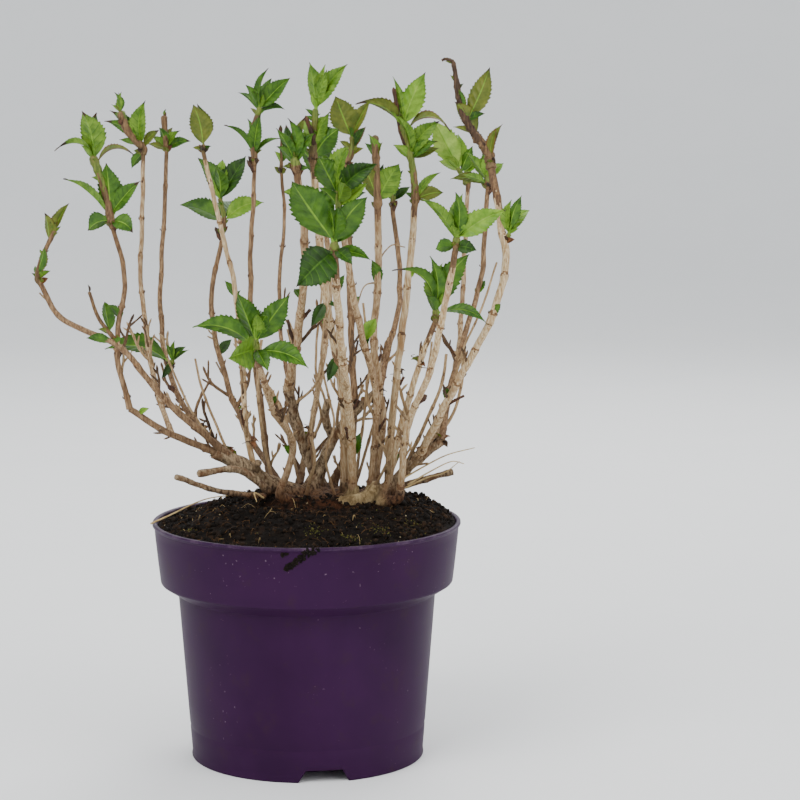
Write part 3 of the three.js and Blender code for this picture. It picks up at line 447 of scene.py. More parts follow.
# A shoot: the limb that it ends, or springs from at a share of the way up, the piece that its leaves go
# to, its lean, length, bow and thickness; its leaves' main colours in turn, how much of each point is
# dried, and whether margins are red; whether its tip is bare; its stem's girth over the solid's, with
# the clasping leaf feet, and the share of it that is brown
shootFields = "name on part side long end mains dried leaves fore bow start at red bare girth woody"
Shoot = namedtuple("Shoot", shootFields, defaults=(0, 0, None, None, False, False, 1.25, None))
fresh, deep, lime, pale, olive, red, dried, young = range(8)
shoots = [
    Shoot("shoot_left_high", "cane_left_high", "left", side=-15, long=53, bow=2, end=4.6, start=4.4,
          mains=[fresh, young, fresh, fresh, fresh, young, deep, young, olive], dried=0.14, woody=0.6,
          leaves=[
        (9, 38, 10, 34, 0.4), (10, -45, 5, 41, 0.3, 30, 20), (11, -2, 14, 36, 0.5, 80),
        (6, -112, 30, 19, 0.7, 65, 50), (6, 118, 25, 19, 0.7, 65, 50), (48, -10, 14, 38, 0.48, 82),
        (50, 2, -12, 34, 0.44, 70), (45, -68, 0, 32, 0.28, 30, 105), (46, 76, 5, 29, 0.26, 30, 90)]),
    Shoot("shoot_far_left", "cane_far_left", "left", side=16, long=40, bow=-4, end=3, start=3.8,
          mains=[fresh, young, deep, olive, olive, olive], dried=0.2, red=True, girth=0.95, woody=1.2,
          leaves=[
        (5, 16, 16, 25, 0.3), (4, 52, 10, 11), (3, -38, 0, 7), (30, -2, 12, 21, 0.4),
        (34, 12, -14, 19, 0.36), (36, 24, 4, 24, 0.3)]),
    Shoot("shoot_left_twin", "cane_left_back", "left", side=-27, fore=4, long=36, bow=-2, end=4.4,
          start=4.2, mains=[fresh, fresh, young, young, olive], dried=0.16, woody=0.95, leaves=[
        (8, -54, 8, 31, 0.32, 60), (12, -38, -10, 29, 0.3), (7, -72, 14, 17, 0.3), (6, 4, 12, 34, 0.4, 74),
        (5, 42, 10, 18), (2, -140, -8, 15, 0.5), (34, -16, 6, 16, 0.34), (35, 2, -12, 15, 0.3),
        (26, -62, 10, 6), (22, 66, 0, 7)]),
    Shoot("shoot_left_bare_tip", "cane_left_inner", "left", side=-3, fore=3, long=28, end=4,
          mains=[young, fresh, olive], dried=0.2, bare=True, leaves=[
        (3, -44, 12, 15), (4, -18, 22, 18), (3, -72, 4, 14), (4, 38, 16, 17), (3, 68, 8, 19),
        (5, 12, -22, 16), (27, 12, 4, 6, 0.3)]),
    Shoot("shoot_single_leaf", "cane_mid_left", "left", side=0, long=7, end=2, mains=[olive, deep],
          dried=0.1, red=True, bare=True, girth=1, leaves=[
        (4, -14, 8, 32, 0.54, 86, 14), (5, -6, -14, 31, 0.46, 72, 10), (2, -70, 10, 8), (2, 60, 20, 7)]),
    Shoot("shoot_mid_left", "cane_mid_left_back", "left", side=6, long=43, bow=-4, end=3, start=3.6,
          mains=[fresh, deep, fresh], dried=0.1, woody=0.8, leaves=[
        (6, 9, 14, 33, 0.34, 72), (5, -40, 8, 34, 0.24, 30, 50), (7, 52, 6, 23, 0.26, 30, 44),
        (8, -12, -16, 27, 0.34), (39, -25, 4, 22, 0.4), (41, 10, 8, 31, 0.26, 44),
        (40, 46, 10, 33, 0.42, 74), (38, 82, 5, 20, 0.3, 65, 70), (39, -48, -20, 22, 0.22, 65, 60),
        (41, 20, -24, 26, 0.36)]),
    Shoot("shoot_low_front", "cane_low_front", "centre", side=0, fore=16, long=13, end=2.4,
          mains=[fresh, fresh, fresh, young, fresh, young], dried=0, leaves=[
        (8, -17, 20, 40, 0.4, 76), (9, 38, 14, 42, 0.42, 76), (6, -66, 10, 46, 0.34, 65, 56),
        (5, -100, 62, 34, 0.66, 86, 24), (5, 104, 16, 38, 0.4, 58), (11, 5, 34, 24), (11, 26, 30, 25),
        (6, 150, 46, 22, 0.5), (10, 8, -30, 24), (7, -36, -34, 28)]),
    Shoot("shoot_thin", "cane_thin", "back", side=0, long=32, end=1.6, mains=[lime, fresh], dried=0.08,
          bare=True, girth=1.1, leaves=[
        (8, -24, 10, 11), (9, 30, 10, 12), (20, 24, 6, 8, 0.3), (31, -12, 0, 6, 0.3)]),
    Shoot("shoot_centre_left", "cane_centre_left", "centre", side=-10, long=12, end=3.6,
          mains=[fresh, deep, olive], dried=0.12, leaves=[
        (5, -26, 14, 30, 0.3), (7, -8, 18, 33, 0.28), (8, 10, 8, 32, 0.28), (5, 28, 12, 27, 0.34),
        (4, -42, 6, 20), (3, -82, 12, 10), (3, 84, 12, 9), (7, -16, -20, 29, 0.3)]),
    Shoot("shoot_centre", "cane_centre", "centre", side=2, long=40, end=2.8,
          mains=[young, young, lime, young, fresh], dried=0.06, leaves=[
        (37, -6, 6, 35, 0.38), (38, 32, 10, 40, 0.36, 70), (39, 9, -12, 32, 0.26), (39, 16, 20, 31, 0.24),
        (5, 42, 14, 29, 0.6, 86), (8, 20, 20, 33, 0.3), (9, -30, 12, 19), (12, -14, -16, 24),
        (20, 58, 10, 14), (30, -50, 4, 8), (28, 54, 8, 11)]),
    Shoot("shoot_round_leaf", "cane_centre_back", "back", side=8, long=24, bow=2, end=2.4,
          mains=[olive, olive, deep], dried=0.1, red=True, leaves=[
        (22, -22, 8, 33, 0.64, 88, 12), (22, 24, -8, 31, 0.34), (14, 30, 12, 20), (12, -42, 10, 13),
        (10, 62, 16, 11)]),
    Shoot("shoot_front", "cane_front", "centre", side=0, fore=14, long=11, end=3,
          mains=[fresh, deep, fresh], dried=0.03, leaves=[
        (8, -35, 24, 56, 0.5, 82, 22), (4, -134, 38, 42, 0.64, 88, 20), (8, 35, 14, 40, 0.46, 76),
        (10, -8, 26, 28, 0.4), (10, 5, 34, 30, 0.4), (7, 42, -18, 31, 0.4), (4, 100, 14, 25, 0.34),
        (5, 128, 40, 20, 0.5)]),
    Shoot("shoot_front_upper", "cane_front_right", "centre", side=-8, fore=4, long=24, end=2.6,
          mains=[fresh, young, deep, lime, fresh], dried=0.05, leaves=[
        (21, -26, 16, 30, 0.62, 86), (22, 12, 8, 33, 0.32), (21, 50, 12, 35, 0.46, 80),
        (12, 46, 20, 27, 0.4), (12, -40, 12, 20), (22, -10, -22, 26), (14, 18, 44, 24, 0.5)]),
    Shoot("shoot_right_centre", "cane_right_centre", "centre", side=-2, long=53, end=4,
          mains=[young, olive, deep], dried=0.1, bare=True, leaves=[
        (5, 28, 8, 33, 0.58, 86), (5, -19, 10, 32, 0.42, 76), (6, 8, -20, 28), (36, -16, 12, 19, 0.4),
        (37, 22, 6, 12), (36, -34, -10, 14)]),
    Shoot("shoot_right_back", "cane_right_back", "back", side=4, long=12, end=2, mains=[deep, fresh],
          dried=0.08, leaves=[
        (6, 20, 8, 24), (5, -34, 10, 18), (5, 50, 0, 17), (9, 2, -10, 22), (8, -14, 22, 16)]),
    Shoot("shoot_tall_right", "cane_tall_right", "right", side=-9, long=60, bow=3, end=3.4,
          mains=[lime, olive, olive, young, fresh, young, fresh, young], dried=0.1, woody=0.3, leaves=[
        (56, 20, 10, 44, 0.4, 76), (54, -56, 4, 40, 0.3, 44, 80), (52, 88, 4, 34, 0.26, 36, 105),
        (57, -8, -6, 37, 0.18), (56, 4, -18, 33, 0.3), (36, 38, 12, 33, 0.42, 80), (34, 56, 20, 24, 0.4),
        (35, -20, 10, 33, 0.3, 60), (33, -48, 12, 18), (34, 70, 0, 22, 0.34), (5, 72, 10, 21, 0.56),
        (5, 44, -6, 27, 0.24), (5, -50, 8, 9)]),
    Shoot("shoot_right_low", "cane_right_low", "right", side=4, fore=4, long=11, end=2.4,
          mains=[fresh, fresh, fresh, fresh, young, deep], dried=0.04, leaves=[
        (7, -42, 8, 44, 0.24, 44, 80), (9, -3, 14, 40, 0.26), (8, 33, 8, 47, 0.38, 80),
        (6, 98, 22, 38, 0.26, 44, 64), (9, 10, -18, 33), (5, -20, 34, 20)]),
    Shoot("shoot_right_pale", "cane_right_pale", "right", side=4, fore=2, long=10, end=2.6,
          mains=[young, fresh, young, lime, deep, deep], dried=0.05, leaves=[
        (6, -38, 8, 38, 0.28, 50, 40), (8, 2, 12, 33, 0.34), (8, 8, -10, 31, 0.34),
        (7, 56, 8, 39, 0.42, 78), (3, -100, 20, 15, 0.66, 80), (3, 98, 24, 15, 0.66, 80),
        (6, -12, 40, 16)]),
    Shoot("shoot_dried_top", "cane_far_right_high", "right", side=-20, long=78, bow=-6, end=3, start=7,
          mains=[olive, olive, deep], dried=0.16, red=True, bare=True, girth=0.95, leaves=[
        (77, -72, 0, 6, 0.4), (36, 22, 8, 42, 0.36, 82, 14), (38, 66, 4, 14), (24, -31, 10, 31, 0.4, 74),
        (26, -72, 6, 17, 0.24, 65, 40), (42, -8, 14, 20, 0.26), (8, 20, 6, 25, 0.3), (6, 8, 16, 24, 0.3),
        (58, 34, 8, 7), (64, -40, 8, 7)]),
    Shoot("shoot_far_right_side", "cane_far_right_high", "right", side=32, long=8, end=2, start=2.6,
          at=0.52, mains=[young, fresh, lime], dried=0.06, leaves=[
        (6, 4, -6, 25, 0.3), (7, 17, 12, 29, 0.3), (6, 40, -38, 30, 0.36), (6, 24, -24, 22)]),
    Shoot("shoot_right_rear", "cane_right_rear", "back", side=-4, long=12, end=2.4,
          mains=[young, young, lime, olive], dried=0.06, leaves=[
        (6, -11, 10, 25, 0.34), (5, -32, 8, 27, 0.34), (8, 12, 8, 23), (4, -82, 6, 28, 0.3),
        (4, -68, 24, 22, 0.3), (8, 2, -14, 22), (6, 40, -20, 20)]),
    Shoot("shoot_broad_leaf", "cane_right_far", "back", side=-30, fore=4, long=16, end=2.2,
          mains=[pale, lime, fresh], dried=0.06, leaves=[
        (14, -27, 8, 41, 0.5, 86, 14), (14, 2, -10, 26), (10, 24, 10, 23), (12, -60, 10, 18),
        (8, 50, -10, 20)]),
    Shoot("shoot_back", "cane_back", "back", side=2, fore=-6, long=24, end=2.4, mains=[fresh, lime, deep],
          dried=0.06, leaves=[
        (20, -30, -14, 40, 0.46), (21, 34, -16, 41, 0.46), (22, 4, -30, 36), (21, -4, 20, 31, 0.4),
        (6, -66, -20, 36, 0.46, 65, 40), (7, 70, -18, 34, 0.46, 65, 40), (8, -160, -66, 30, 0.5)]),
    Shoot("shoot_back_left", "cane_back_left", "back", side=-4, fore=-6, long=28, bow=2, end=2.4,
          mains=[fresh, deep, lime], dried=0.08, leaves=[
        (24, -28, -10, 38, 0.46), (25, 30, -12, 39, 0.46), (26, 2, -26, 34, 0.4), (25, -6, 24, 30, 0.4),
        (9, -70, -14, 36, 0.46, 65, 40), (10, 66, -12, 34, 0.46, 65, 40), (10, 20, -60, 30, 0.5)]),
    Shoot("shoot_left_low", "cane_left_inner", "left", side=30, fore=26, long=9, end=2, start=2.6, at=0.38,
          mains=[fresh, deep], dried=0.05, leaves=[
        (6, -76, 14, 50, 0.34, 70, 46), (7, 40, 20, 16), (7, -12, 10, 14), (6, -150, 24, 14)]),
    Shoot("twig_left", "cane_left_high", "left", side=-26, fore=6, long=42, bow=-3, end=1.8, start=2.6,
          at=0.36, mains=[fresh, olive, dried], dried=0.1, bare=True, leaves=[
        (9, -2, 26, 26, 0.4), (8, -64, 12, 10), (41, -10, 4, 6, 0.3)]),
]
shoots = [shoot._replace(leaves=[Leaf(*leaf) for leaf in shoot.leaves]) for shoot in shoots]


def shootLine(shoot):
    # a shoot starts on its cane's tip, or part way up, and leans from there
    host = lineOf[shoot.on]
    lean = directionOf(shoot.side, shoot.fore)
    along = lean if shoot.at else host.way(1)
    start = host.at(shoot.at) if shoot.at else host.at(1) - along * 0.4
    end = start + lean * shoot.long
    middle = (start + end) / 2 + np.array([shoot.bow, 0, 0])
    return Line([start, start + along * shoot.long * 0.12, middle, end])


for name, (start, _, _, *places) in limbs.items():
    lineOf[name] = Line([startOf(start), *places])
for shoot in shoots:
    lineOf[shoot.name] = shootLine(shoot)


# Pot: a thin moulded shell turned from one profile, its foot ring notched
pot = dict(height=170, base=83.5, neck=92, neckUp=119, band=104.5, bandUp=127, rim=110, wall=2, lip=1.4,
           lipDeep=3, footRing=4.5, footUp=9, disc=48, seamUp=22, seam=0.35, segments=180)
notch = dict(count=3, foot=37, top=26, height=8.6, first=-80, mostOff=45)


def wallAt(height):
    share = (height - pot["footUp"]) / (pot["neckUp"] - pot["footUp"])
    return pot["base"] + (pot["neck"] - pot["base"]) * share


def corner(radius, height, cut, turnedBy):
    # a small rounded corner: five points of a quarter turn that starts at turnedBy degrees
    turns = [radians(turnedBy + 22.5 * step) for step in range(5)]
    return [(radius + cut * cos(t), height + cut * sin(t)) for t in turns]


def potProfile():
    # radius and height of each ring, from under the disc up the outside, then down the inside
    top, base, neck, neckUp = pot["height"], pot["base"], pot["neck"], pot["neckUp"]
    band, bandUp, rim, wall = pot["band"], pot["bandUp"], pot["rim"], pot["wall"]
    disc, footUp, ring, seamUp = pot["disc"], pot["footUp"], base - pot["footRing"], pot["seamUp"]
    lip, lipUp = rim - pot["lip"], top - pot["lipDeep"]
    inner = lip - wall
    return [
        (0, 0), (disc - 0.6, 0), (disc, 0.4), (disc + 3, footUp), (ring - 3, footUp), (ring, 0.6),
        (ring + 0.7, 0), *corner(base - 0.9, 0.9, 0.9, -90),
        *[(wallAt(h), h) for h in (4, 7, 9, 14, seamUp - 1)],
        *[(wallAt(h) - pot["seam"], h) for h in (seamUp, seamUp + 1.2)],
        *[(wallAt(h), h) for h in (seamUp + 3, 40, 60, 80, 100, neckUp - 4, neckUp - 1)],
        (neck, neckUp - 0.3), (neck + 0.4, neckUp + 0.2), (neck + 1.2, neckUp + 0.8),
        (band - 1.6, bandUp - 1), (band - 0.6, bandUp - 0.4), (band - 0.1, bandUp + 0.3),
        (band + 0.1, bandUp + 1.2), (band + 1.7, bandUp + 15), (lip - 0.4, lipUp - 6),
        (lip, lipUp - 0.6), (lip + 0.3, lipUp - 0.1), (rim - 0.35, lipUp + 0.5), (rim, lipUp + 1.1),
        *corner(rim - 0.9, top - 0.9, 0.9, 0),
        (inner + 0.7, top), (inner + 0.1, top - 0.5), (inner - 0.1, top - 1.4),
        (band - wall + 2, bandUp + 20), (band - wall, bandUp + 2), (neck - wall, neckUp + 1),
        (base - wall, footUp + wall), (disc + 1, footUp + wall), (disc - 2, wall), (0, wall),
    ]


def potTurns():
    # even steps round the pot in degrees, and one more at each corner of a notch
    turns = [360 * i / pot["segments"] for i in range(pot["segments"])]
    for i in range(notch["count"]):
        middle = notch["first"] + 360 * i / notch["count"]
        for wide in (notch["foot"], notch["top"]):
            half = degrees(atan2(wide / 2, pot["base"]))
            turns += [(middle - half) % 360, (middle + half) % 360]
    kept = []
    for turn in sorted(turns):
        if not kept or turn - kept[-1] > 0.15:
            kept.append(turn)
    return kept


def notchLift(turn):
    # how high the foot is cut away at this turn
    lift = 0
    for i in range(notch["count"]):
        off = abs((turn - notch["first"] - 360 * i / notch["count"] + 180) % 360 - 180)
        if off < notch["mostOff"]:
            inside = notch["foot"] / 2 - tan(radians(off)) * pot["base"]
            lift = max(lift, notch["height"] * clamp(inside / ((notch["foot"] - notch["top"]) / 2)))
    return lift


def makePot():
    profile = potProfile()
    turns = potTurns()
    points = []
    for radius, height in profile:
        inFoot = radius > pot["base"] - pot["footRing"] - 2.9 and height < notch["height"]
        for turn in turns:
            lift = notchLift(turn) if inFoot else 0
            points.append((*around(radius, radians(turn)), max(height, lift + height * 0.02)))
    lipFoot = pot["height"] - pot["lipDeep"] + 1
    looks = [int(height > lipFoot) for _, height in profile[:-1] for _ in turns]
    heap = Heap()
    heap.add(points, ringFaces(len(profile), len(turns)), looks)
    heap.piece("nursery_pot", "pot", [potPlastic(), rimPlastic()], ["pot"], weld=1e-6)


def potPlastic():
    # deep purple, satin, with flow streaks, a film of dust and a few pale scuffs
    plastic = Finish("purplePlastic", specular=0.07)
    streaks = plastic.grain(30, 4, stretch=(1, 1, 0.12))
    cloud = plastic.grain(14, 3)
    body = plastic.blend(plastic.band(cloud, 0.35, 0.7), (41, 16, 46), (49, 21, 54))
    worn = plastic.blend(plastic.band(streaks, 0.5, 0.8) * 0.3, body, (52, 24, 60))
    specks = plastic.band(plastic.grain(420, 2), 0.705, 0.75)
    upper = plastic.band(plastic.height(), 0.11, 0.16)
    patches = plastic.band(plastic.grain(26, 2) + upper * 0.09, 0.55, 0.66)
    dusty = plastic.blend(specks * patches * 0.55, worn, (128, 108, 122))
    grime = plastic.band(plastic.grain(60, 5, 0.7), 0.55, 0.72) * 0.4
    plastic.wear("colour", plastic.blend(grime, dusty, (50, 34, 36)))
    plastic.wear("roughness", plastic.band(cloud, 0.2, 0.8) * 0.14 + 0.4)
    plastic.bump(plastic.grain(900, 2), 0.08, 0.0004)
    return plastic


def rimPlastic():
    # the lip, rubbed pale along its edge; the pale patches are partly real wear and partly a painted
    # highlight along the lip
    plastic = Finish("rubbedAndHighlitPurplePlastic", roughness=0.42, specular=0.15)
    rubbedAndHighlit = plastic.band(plastic.grain(70, 4, 0.65), 0.48, 0.7)
    # pale patches on the lip: real wear, and also the painted highlight of its edge
    plastic.wear("colour", plastic.blend(rubbedAndHighlit * 0.5, (42, 15, 49), (100, 78, 98)))
    plastic.bump(plastic.grain(500, 3), 0.15, 0.0005)
    return plastic


makePot()


# Compost: level near the rim, mounded round the crown, with crumbs and fibres on it
compost = dict(edgeHeight=168, topHeight=181, flatRadius=60, slope=1.6, edgeRadius=106.1, ringStep=1.5,
               segments=230, relief=3.3, bank=6, shoulder=14, crumbs=2600, clods=700, mossTufts=60,
               spill=150, drips=14, fibres=430)
crown = dict(middle=(16, 14), reach=(50, 28))
# radius and height of the rings down the pot's wall and across its floor, as the solid goes
underCompost = [(102.1, 129.5), (89.6, 120.5), (81.1, 11.5), (50.6, 11.5), (45.6, 2.5)]
# middle and spread of each patch of moss
mossSpots = [(34, -86, 5), (52, -68, 5), (76, -46, 4), (8, -74, 4), (-82, -38, 3), (60, 70, 6), (-40, 80, 6)]
# long pale roots and straws: one lies on the compost, the rest stand out of the stool
strawRoots = [
    [(-109, -28, 172), (-96, -22, 177), (-72, -8, 186), (-50, 6, 187)],
    [(66, 0, 198), (84, 3, 208), (100, 4, 216), (120, 6, 221)],
    [(72, -6, 196), (88, -8, 206), (104, -6, 213), (112, -4, 211)],
    [(70, 4, 192), (86, 8, 199), (98, 4, 203), (109, 0, 212)],
    [(-30, -14, 188), (-36, -22, 193), (-34, -30, 188)],
]


def onCompost(x, y, lift=0):
    # a place on the compost: level, falling to the wall, banked against the crown, rough with clods
    inward = compost["edgeRadius"] - hypot(x, y)
    aside, back = x - crown["middle"][0], y - crown["middle"][1]
    beyond = clamp((hypot(aside, back) - compost["flatRadius"]) / (pot["rim"] - compost["flatRadius"]))
    mound = compost["topHeight"] - compost["edgeHeight"]
    level = compost["topHeight"] - mound * beyond ** compost["slope"]
    level -= (level - compost["edgeHeight"]) * max(1 - inward / compost["shoulder"], 0) ** 1.6 * 0.75
    clods = lump(x / 15, y / 15, 1.5) * 1.5 + abs(lump(x / 7, y / 7, 4.2)) * 1.6 - 0.5
    crumbs = abs(lump(x / 3.1, y / 3.1, 8.1)) * 1.3 + lump(x / 1.6, y / 1.6, 3.3) * 0.55
    rough = (clods + crumbs) * compost["relief"] / 2.6
    banked = clamp((1.3 - hypot(aside / crown["reach"][0], back / crown["reach"][1])) / 0.36) ** 1.4
    bank = compost["bank"] * banked * (1 + 0.3 * lump(x / 9, y / 9, 6.6))
    height = level + rough * (0.5 + 0.5 * clamp(inward / 9)) * (1 - 0.45 * banked) + bank - 0.8
    return x, y, height + lift


def makeCompost():
    step, edge = compost["ringStep"], compost["edgeRadius"]
    radii = [*np.arange(step, edge, step), edge]
    turns = evenTurns(compost["segments"])
    points = [onCompost(0, 0)]
    points += [onCompost(*around(radius, turn)) for radius in radii for turn in turns]
    points += [(*around(radius, turn), height) for radius, height in underCompost for turn in turns]
    points.append((0, 0, underCompost[-1][1]))
    count = len(turns)
    rings = len(radii) + len(underCompost)
    last = 1 + (rings - 1) * count
    faces = [(0, 1 + i, 1 + (i + 1) % count) for i in range(count)]
    faces += [(a, d, c, b) for a, b, c, d in ringFaces(rings, count, 1)]
    faces += [(last + count, last + (i + 1) % count, last + i) for i in range(count)]
    heap = Heap()
    heap.add(points, faces, 0)
    heap.piece("compost", "soil", [peat()], ["soil"])


def peat():
    soil = Finish("darkPeat", roughness=0.95, specular=0.12)
    coarse = soil.grain(160, 5, 0.7)
    fine = soil.grain(700, 3, 0.7)
    dark = soil.blend(soil.band(coarse, 0.42, 0.7), (9, 6, 4), (26, 18, 12))
    warm = soil.blend(soil.band(soil.grain(60, 2), 0.5, 0.65) * 0.5, dark, (36, 23, 13))
    rooty = (1 - soil.band(soil.awayFrom((0.012, 0.008, 0.186)), 0.022, 0.05)) * soil.band(coarse, 0.4, 0.6)
    warm = soil.blend(rooty * 0.8, warm, (66, 38, 22))
    flecks = soil.band(fine, 0.67, 0.72)
    soil.wear("colour", soil.blend(flecks * 0.35, warm, (88, 74, 46)))
    soil.bump(coarse * 0.7 + fine * 0.5, 1.0, 0.0016)
    return soil


def ball():
    # a rough ball: an octahedron with each face divided in four
    corners = [(1, 0, 0), (-1, 0, 0), (0, 1, 0), (0, -1, 0), (0, 0, 1), (0, 0, -1)]
    edges = [(0, 2), (2, 1), (1, 3), (3, 0), (0, 4), (2, 4), (1, 4), (3, 4), (0, 5), (2, 5), (1, 5), (3, 5)]
    points = [np.array(c, float) for c in corners]
    points += [unit(points[a] + points[b]) for a, b in edges]
    middleOf = {frozenset(edge): 6 + k for k, edge in enumerate(edges)}
    faces = []
    for a, b, c in [(0, 2, 4), (2, 1, 4), (1, 3, 4), (3, 0, 4), (2, 0, 5), (1, 2, 5), (3, 1, 5), (0, 3, 5)]:
        ab, bc, ca = (middleOf[frozenset(edge)] for edge in ((a, b), (b, c), (c, a)))
        faces += [(a, ab, ca), (ab, b, bc), (ca, bc, c), (ab, bc, ca)]
    return points, faces


ballPoints, ballFaces = ball()


def crumb(heap, middle, size, look, dice):
    # an uneven lump of peat or bark
    spin = [dice.uniform(0.6, 1.3) for _ in range(3)]
    turn = dice.uniform(0, pi)
    points = []
    for point in ballPoints:
        x, y, z = point * size * spin * dice.uniform(0.72, 1.2)
        points.append((middle[0] + x * cos(turn) - y * sin(turn),
                       middle[1] + x * sin(turn) + y * cos(turn), middle[2] + z))
    heap.add(points, ballFaces, look)


def spotWithin(reach, dice):
    radius = reach * sqrt(dice.random())
    return around(radius, dice.uniform(0, 2 * pi))


def makeCrumbs():
    # looks: dark peat, brown peat, bark, pale grit, moss
    dice = random.Random(41)
    heap = Heap()
    for _ in range(compost["crumbs"]):
        x, y = spotWithin(compost["edgeRadius"] - 2.5, dice)
        size = dice.choice([0.5, 0.7, 0.9, 1.3, 2.1]) * dice.uniform(0.8, 1.2)
        look = dice.choices([0, 1, 2, 3, 4], [66, 24, 5, 1.5, 3.5])[0]
        if look > 1:
            size = dice.uniform(0.3, 0.7)
        crumb(heap, onCompost(x, y, size * 0.25), size, look, dice)
    # clods gathered along the wall
    for _ in range(compost["clods"]):
        turn = dice.uniform(0, 2 * pi)
        x, y = around(compost["edgeRadius"] - dice.uniform(2.5, 12), turn)
        crumb(heap, onCompost(x, y, 0.4), dice.uniform(0.6, 1.9), dice.choice([0, 0, 0, 1]), dice)
    # tufts of moss, mostly in front and to the right
    for x, y, spread in mossSpots:
        for _ in range(compost["mossTufts"]):
            px, py = x + dice.gauss(0, spread), y + dice.gauss(0, spread)
            if hypot(px, py) < compost["edgeRadius"] - 3:
                crumb(heap, onCompost(px, py, 0.3), dice.uniform(0.25, 0.6), 4, dice)
    spill(heap, dice)
    finishes = [crumbly("peatCrumb", (10, 7, 5), (24, 17, 11)),
                crumbly("brownCrumb", (28, 19, 12), (46, 32, 20)),
                crumbly("barkCrumb", (70, 48, 28), (98, 72, 44)),
                crumbly("paleGrit", (132, 122, 96), (170, 158, 128)),
                crumbly("mossCrumb", (56, 58, 24), (96, 92, 46))]
    heap.piece("compost_crumbs", "soil", finishes)


def spill(heap, dice):
    # a smear of wet compost that hangs over the front of the rim, and a few drips beside it
    for k in range(compost["spill"]):
        share = dice.random() ** 0.8
        across = 9 - 19 * share + dice.uniform(-4, 4) * (1 - share * 0.7)
        drop = 14.5 * share + dice.uniform(-1.5, 1.5)
        if k < compost["drips"]:
            across, drop = dice.uniform(-14, -9), dice.uniform(3, 6)
        radius = pot["rim"] - 0.6 if drop < 3 else pot["rim"] - pot["lip"] - drop * 0.06
        place = (*around(radius, -pi / 2 + across / radius), pot["height"] - drop)
        crumb(heap, place, dice.uniform(0.8, 1.9) * (1 - share * 0.3), 0, dice)


def crumbly(name, low, high):
    clod = Finish(name, roughness=0.92, specular=0.15)
    mottle = clod.grain(300, 3)
    clod.wear("colour", clod.blend(clod.band(mottle, 0.35, 0.65), low, high))
    clod.bump(clod.grain(1500, 2), 0.5, 0.0004)
    return clod


def makeFibres():
    # fine roots, straw and peat fibres lying on the compost
    dice = random.Random(7)
    heap = Heap()
    for _ in range(compost["fibres"]):
        x, y = spotWithin(compost["edgeRadius"] - 9, dice)
        long = dice.choice([2, 3, 4, 6, 8, 12])
        turn = dice.uniform(0, 2 * pi)
        bend = dice.uniform(-0.8, 0.8)
        thick = dice.uniform(0.1, 0.26)
        lift = dice.choice([0.5, 0.5, 0.5, 2.4])
        places = []
        for step in range(5):
            way = turn + bend * step / 4
            x += cos(way) * long / 4
            y += sin(way) * long / 4
            if hypot(x, y) > compost["edgeRadius"] - 2:
                break
            places.append(onCompost(x, y, 0.5 + lift * sin(step * 0.8)))
        if len(places) > 2:
            radii = [thick] * (len(places) - 1) + [thick * 0.4]
            tube(heap, places, radii, dice.choice([0, 0, 0, 0, 0, 1]), 4)
    for places in strawRoots:
        shares = steps(24)
        tube(heap, Line(places).at(shares), 0.75 - 0.45 * shares, 1, 6)
    finishes = [crumbly("brownFibre", (54, 36, 20), (92, 66, 40)),
                crumbly("paleFibre", (150, 126, 84), (186, 162, 116))]
    heap.piece("compost_fibres", "soil", finishes)


makeCompost()
makeCrumbs()
makeFibres()


# Bark, and the limbs made of it
def bark(name, pale, dark, patch, roughness=0.75, depth=0.0006):
    # straw to brown bark: fine grain along the cane, darker patches, small pores
    skin = Finish(name, roughness=roughness, specular=0.3)
    streaks = skin.grain(900, 3, 0.6, stretch=(1, 1, 0.12))
    ground = skin.blend(skin.band(streaks, 0.39, 0.63), dark, pale)
    weather = skin.band(skin.grain(110, 4, 0.65, stretch=(1, 1, 0.35)), 0.5, 0.68)
    aged = skin.blend(weather * 0.75, ground, patch)
    pores = skin.band(skin.grain(1300, 1), 0.68, 0.74)
    low = (1 - skin.band(skin.height() + weather * 0.02, 0.2, 0.27)) * 0.5
    aged = skin.blend(low, aged, shaded(patch, 0.8))
    footing = (1 - skin.band(skin.height() + weather * 0.01, 0.19, 0.207)) * 0.75
    aged = skin.blend(footing, aged, (92, 62, 40))
    skin.wear("colour", skin.blend(pores * 0.6, aged, shaded(dark, 0.55)))
    skin.bump(streaks * 0.6 + skin.grain(400, 4) * 0.5, 0.5, depth)
    return skin


# Woody crown and old stems: one knuckled body, grown together
oldWood = dict(voxel=0.95, knuckles=46, fissure=0.55, goldenTurn=2.399963)


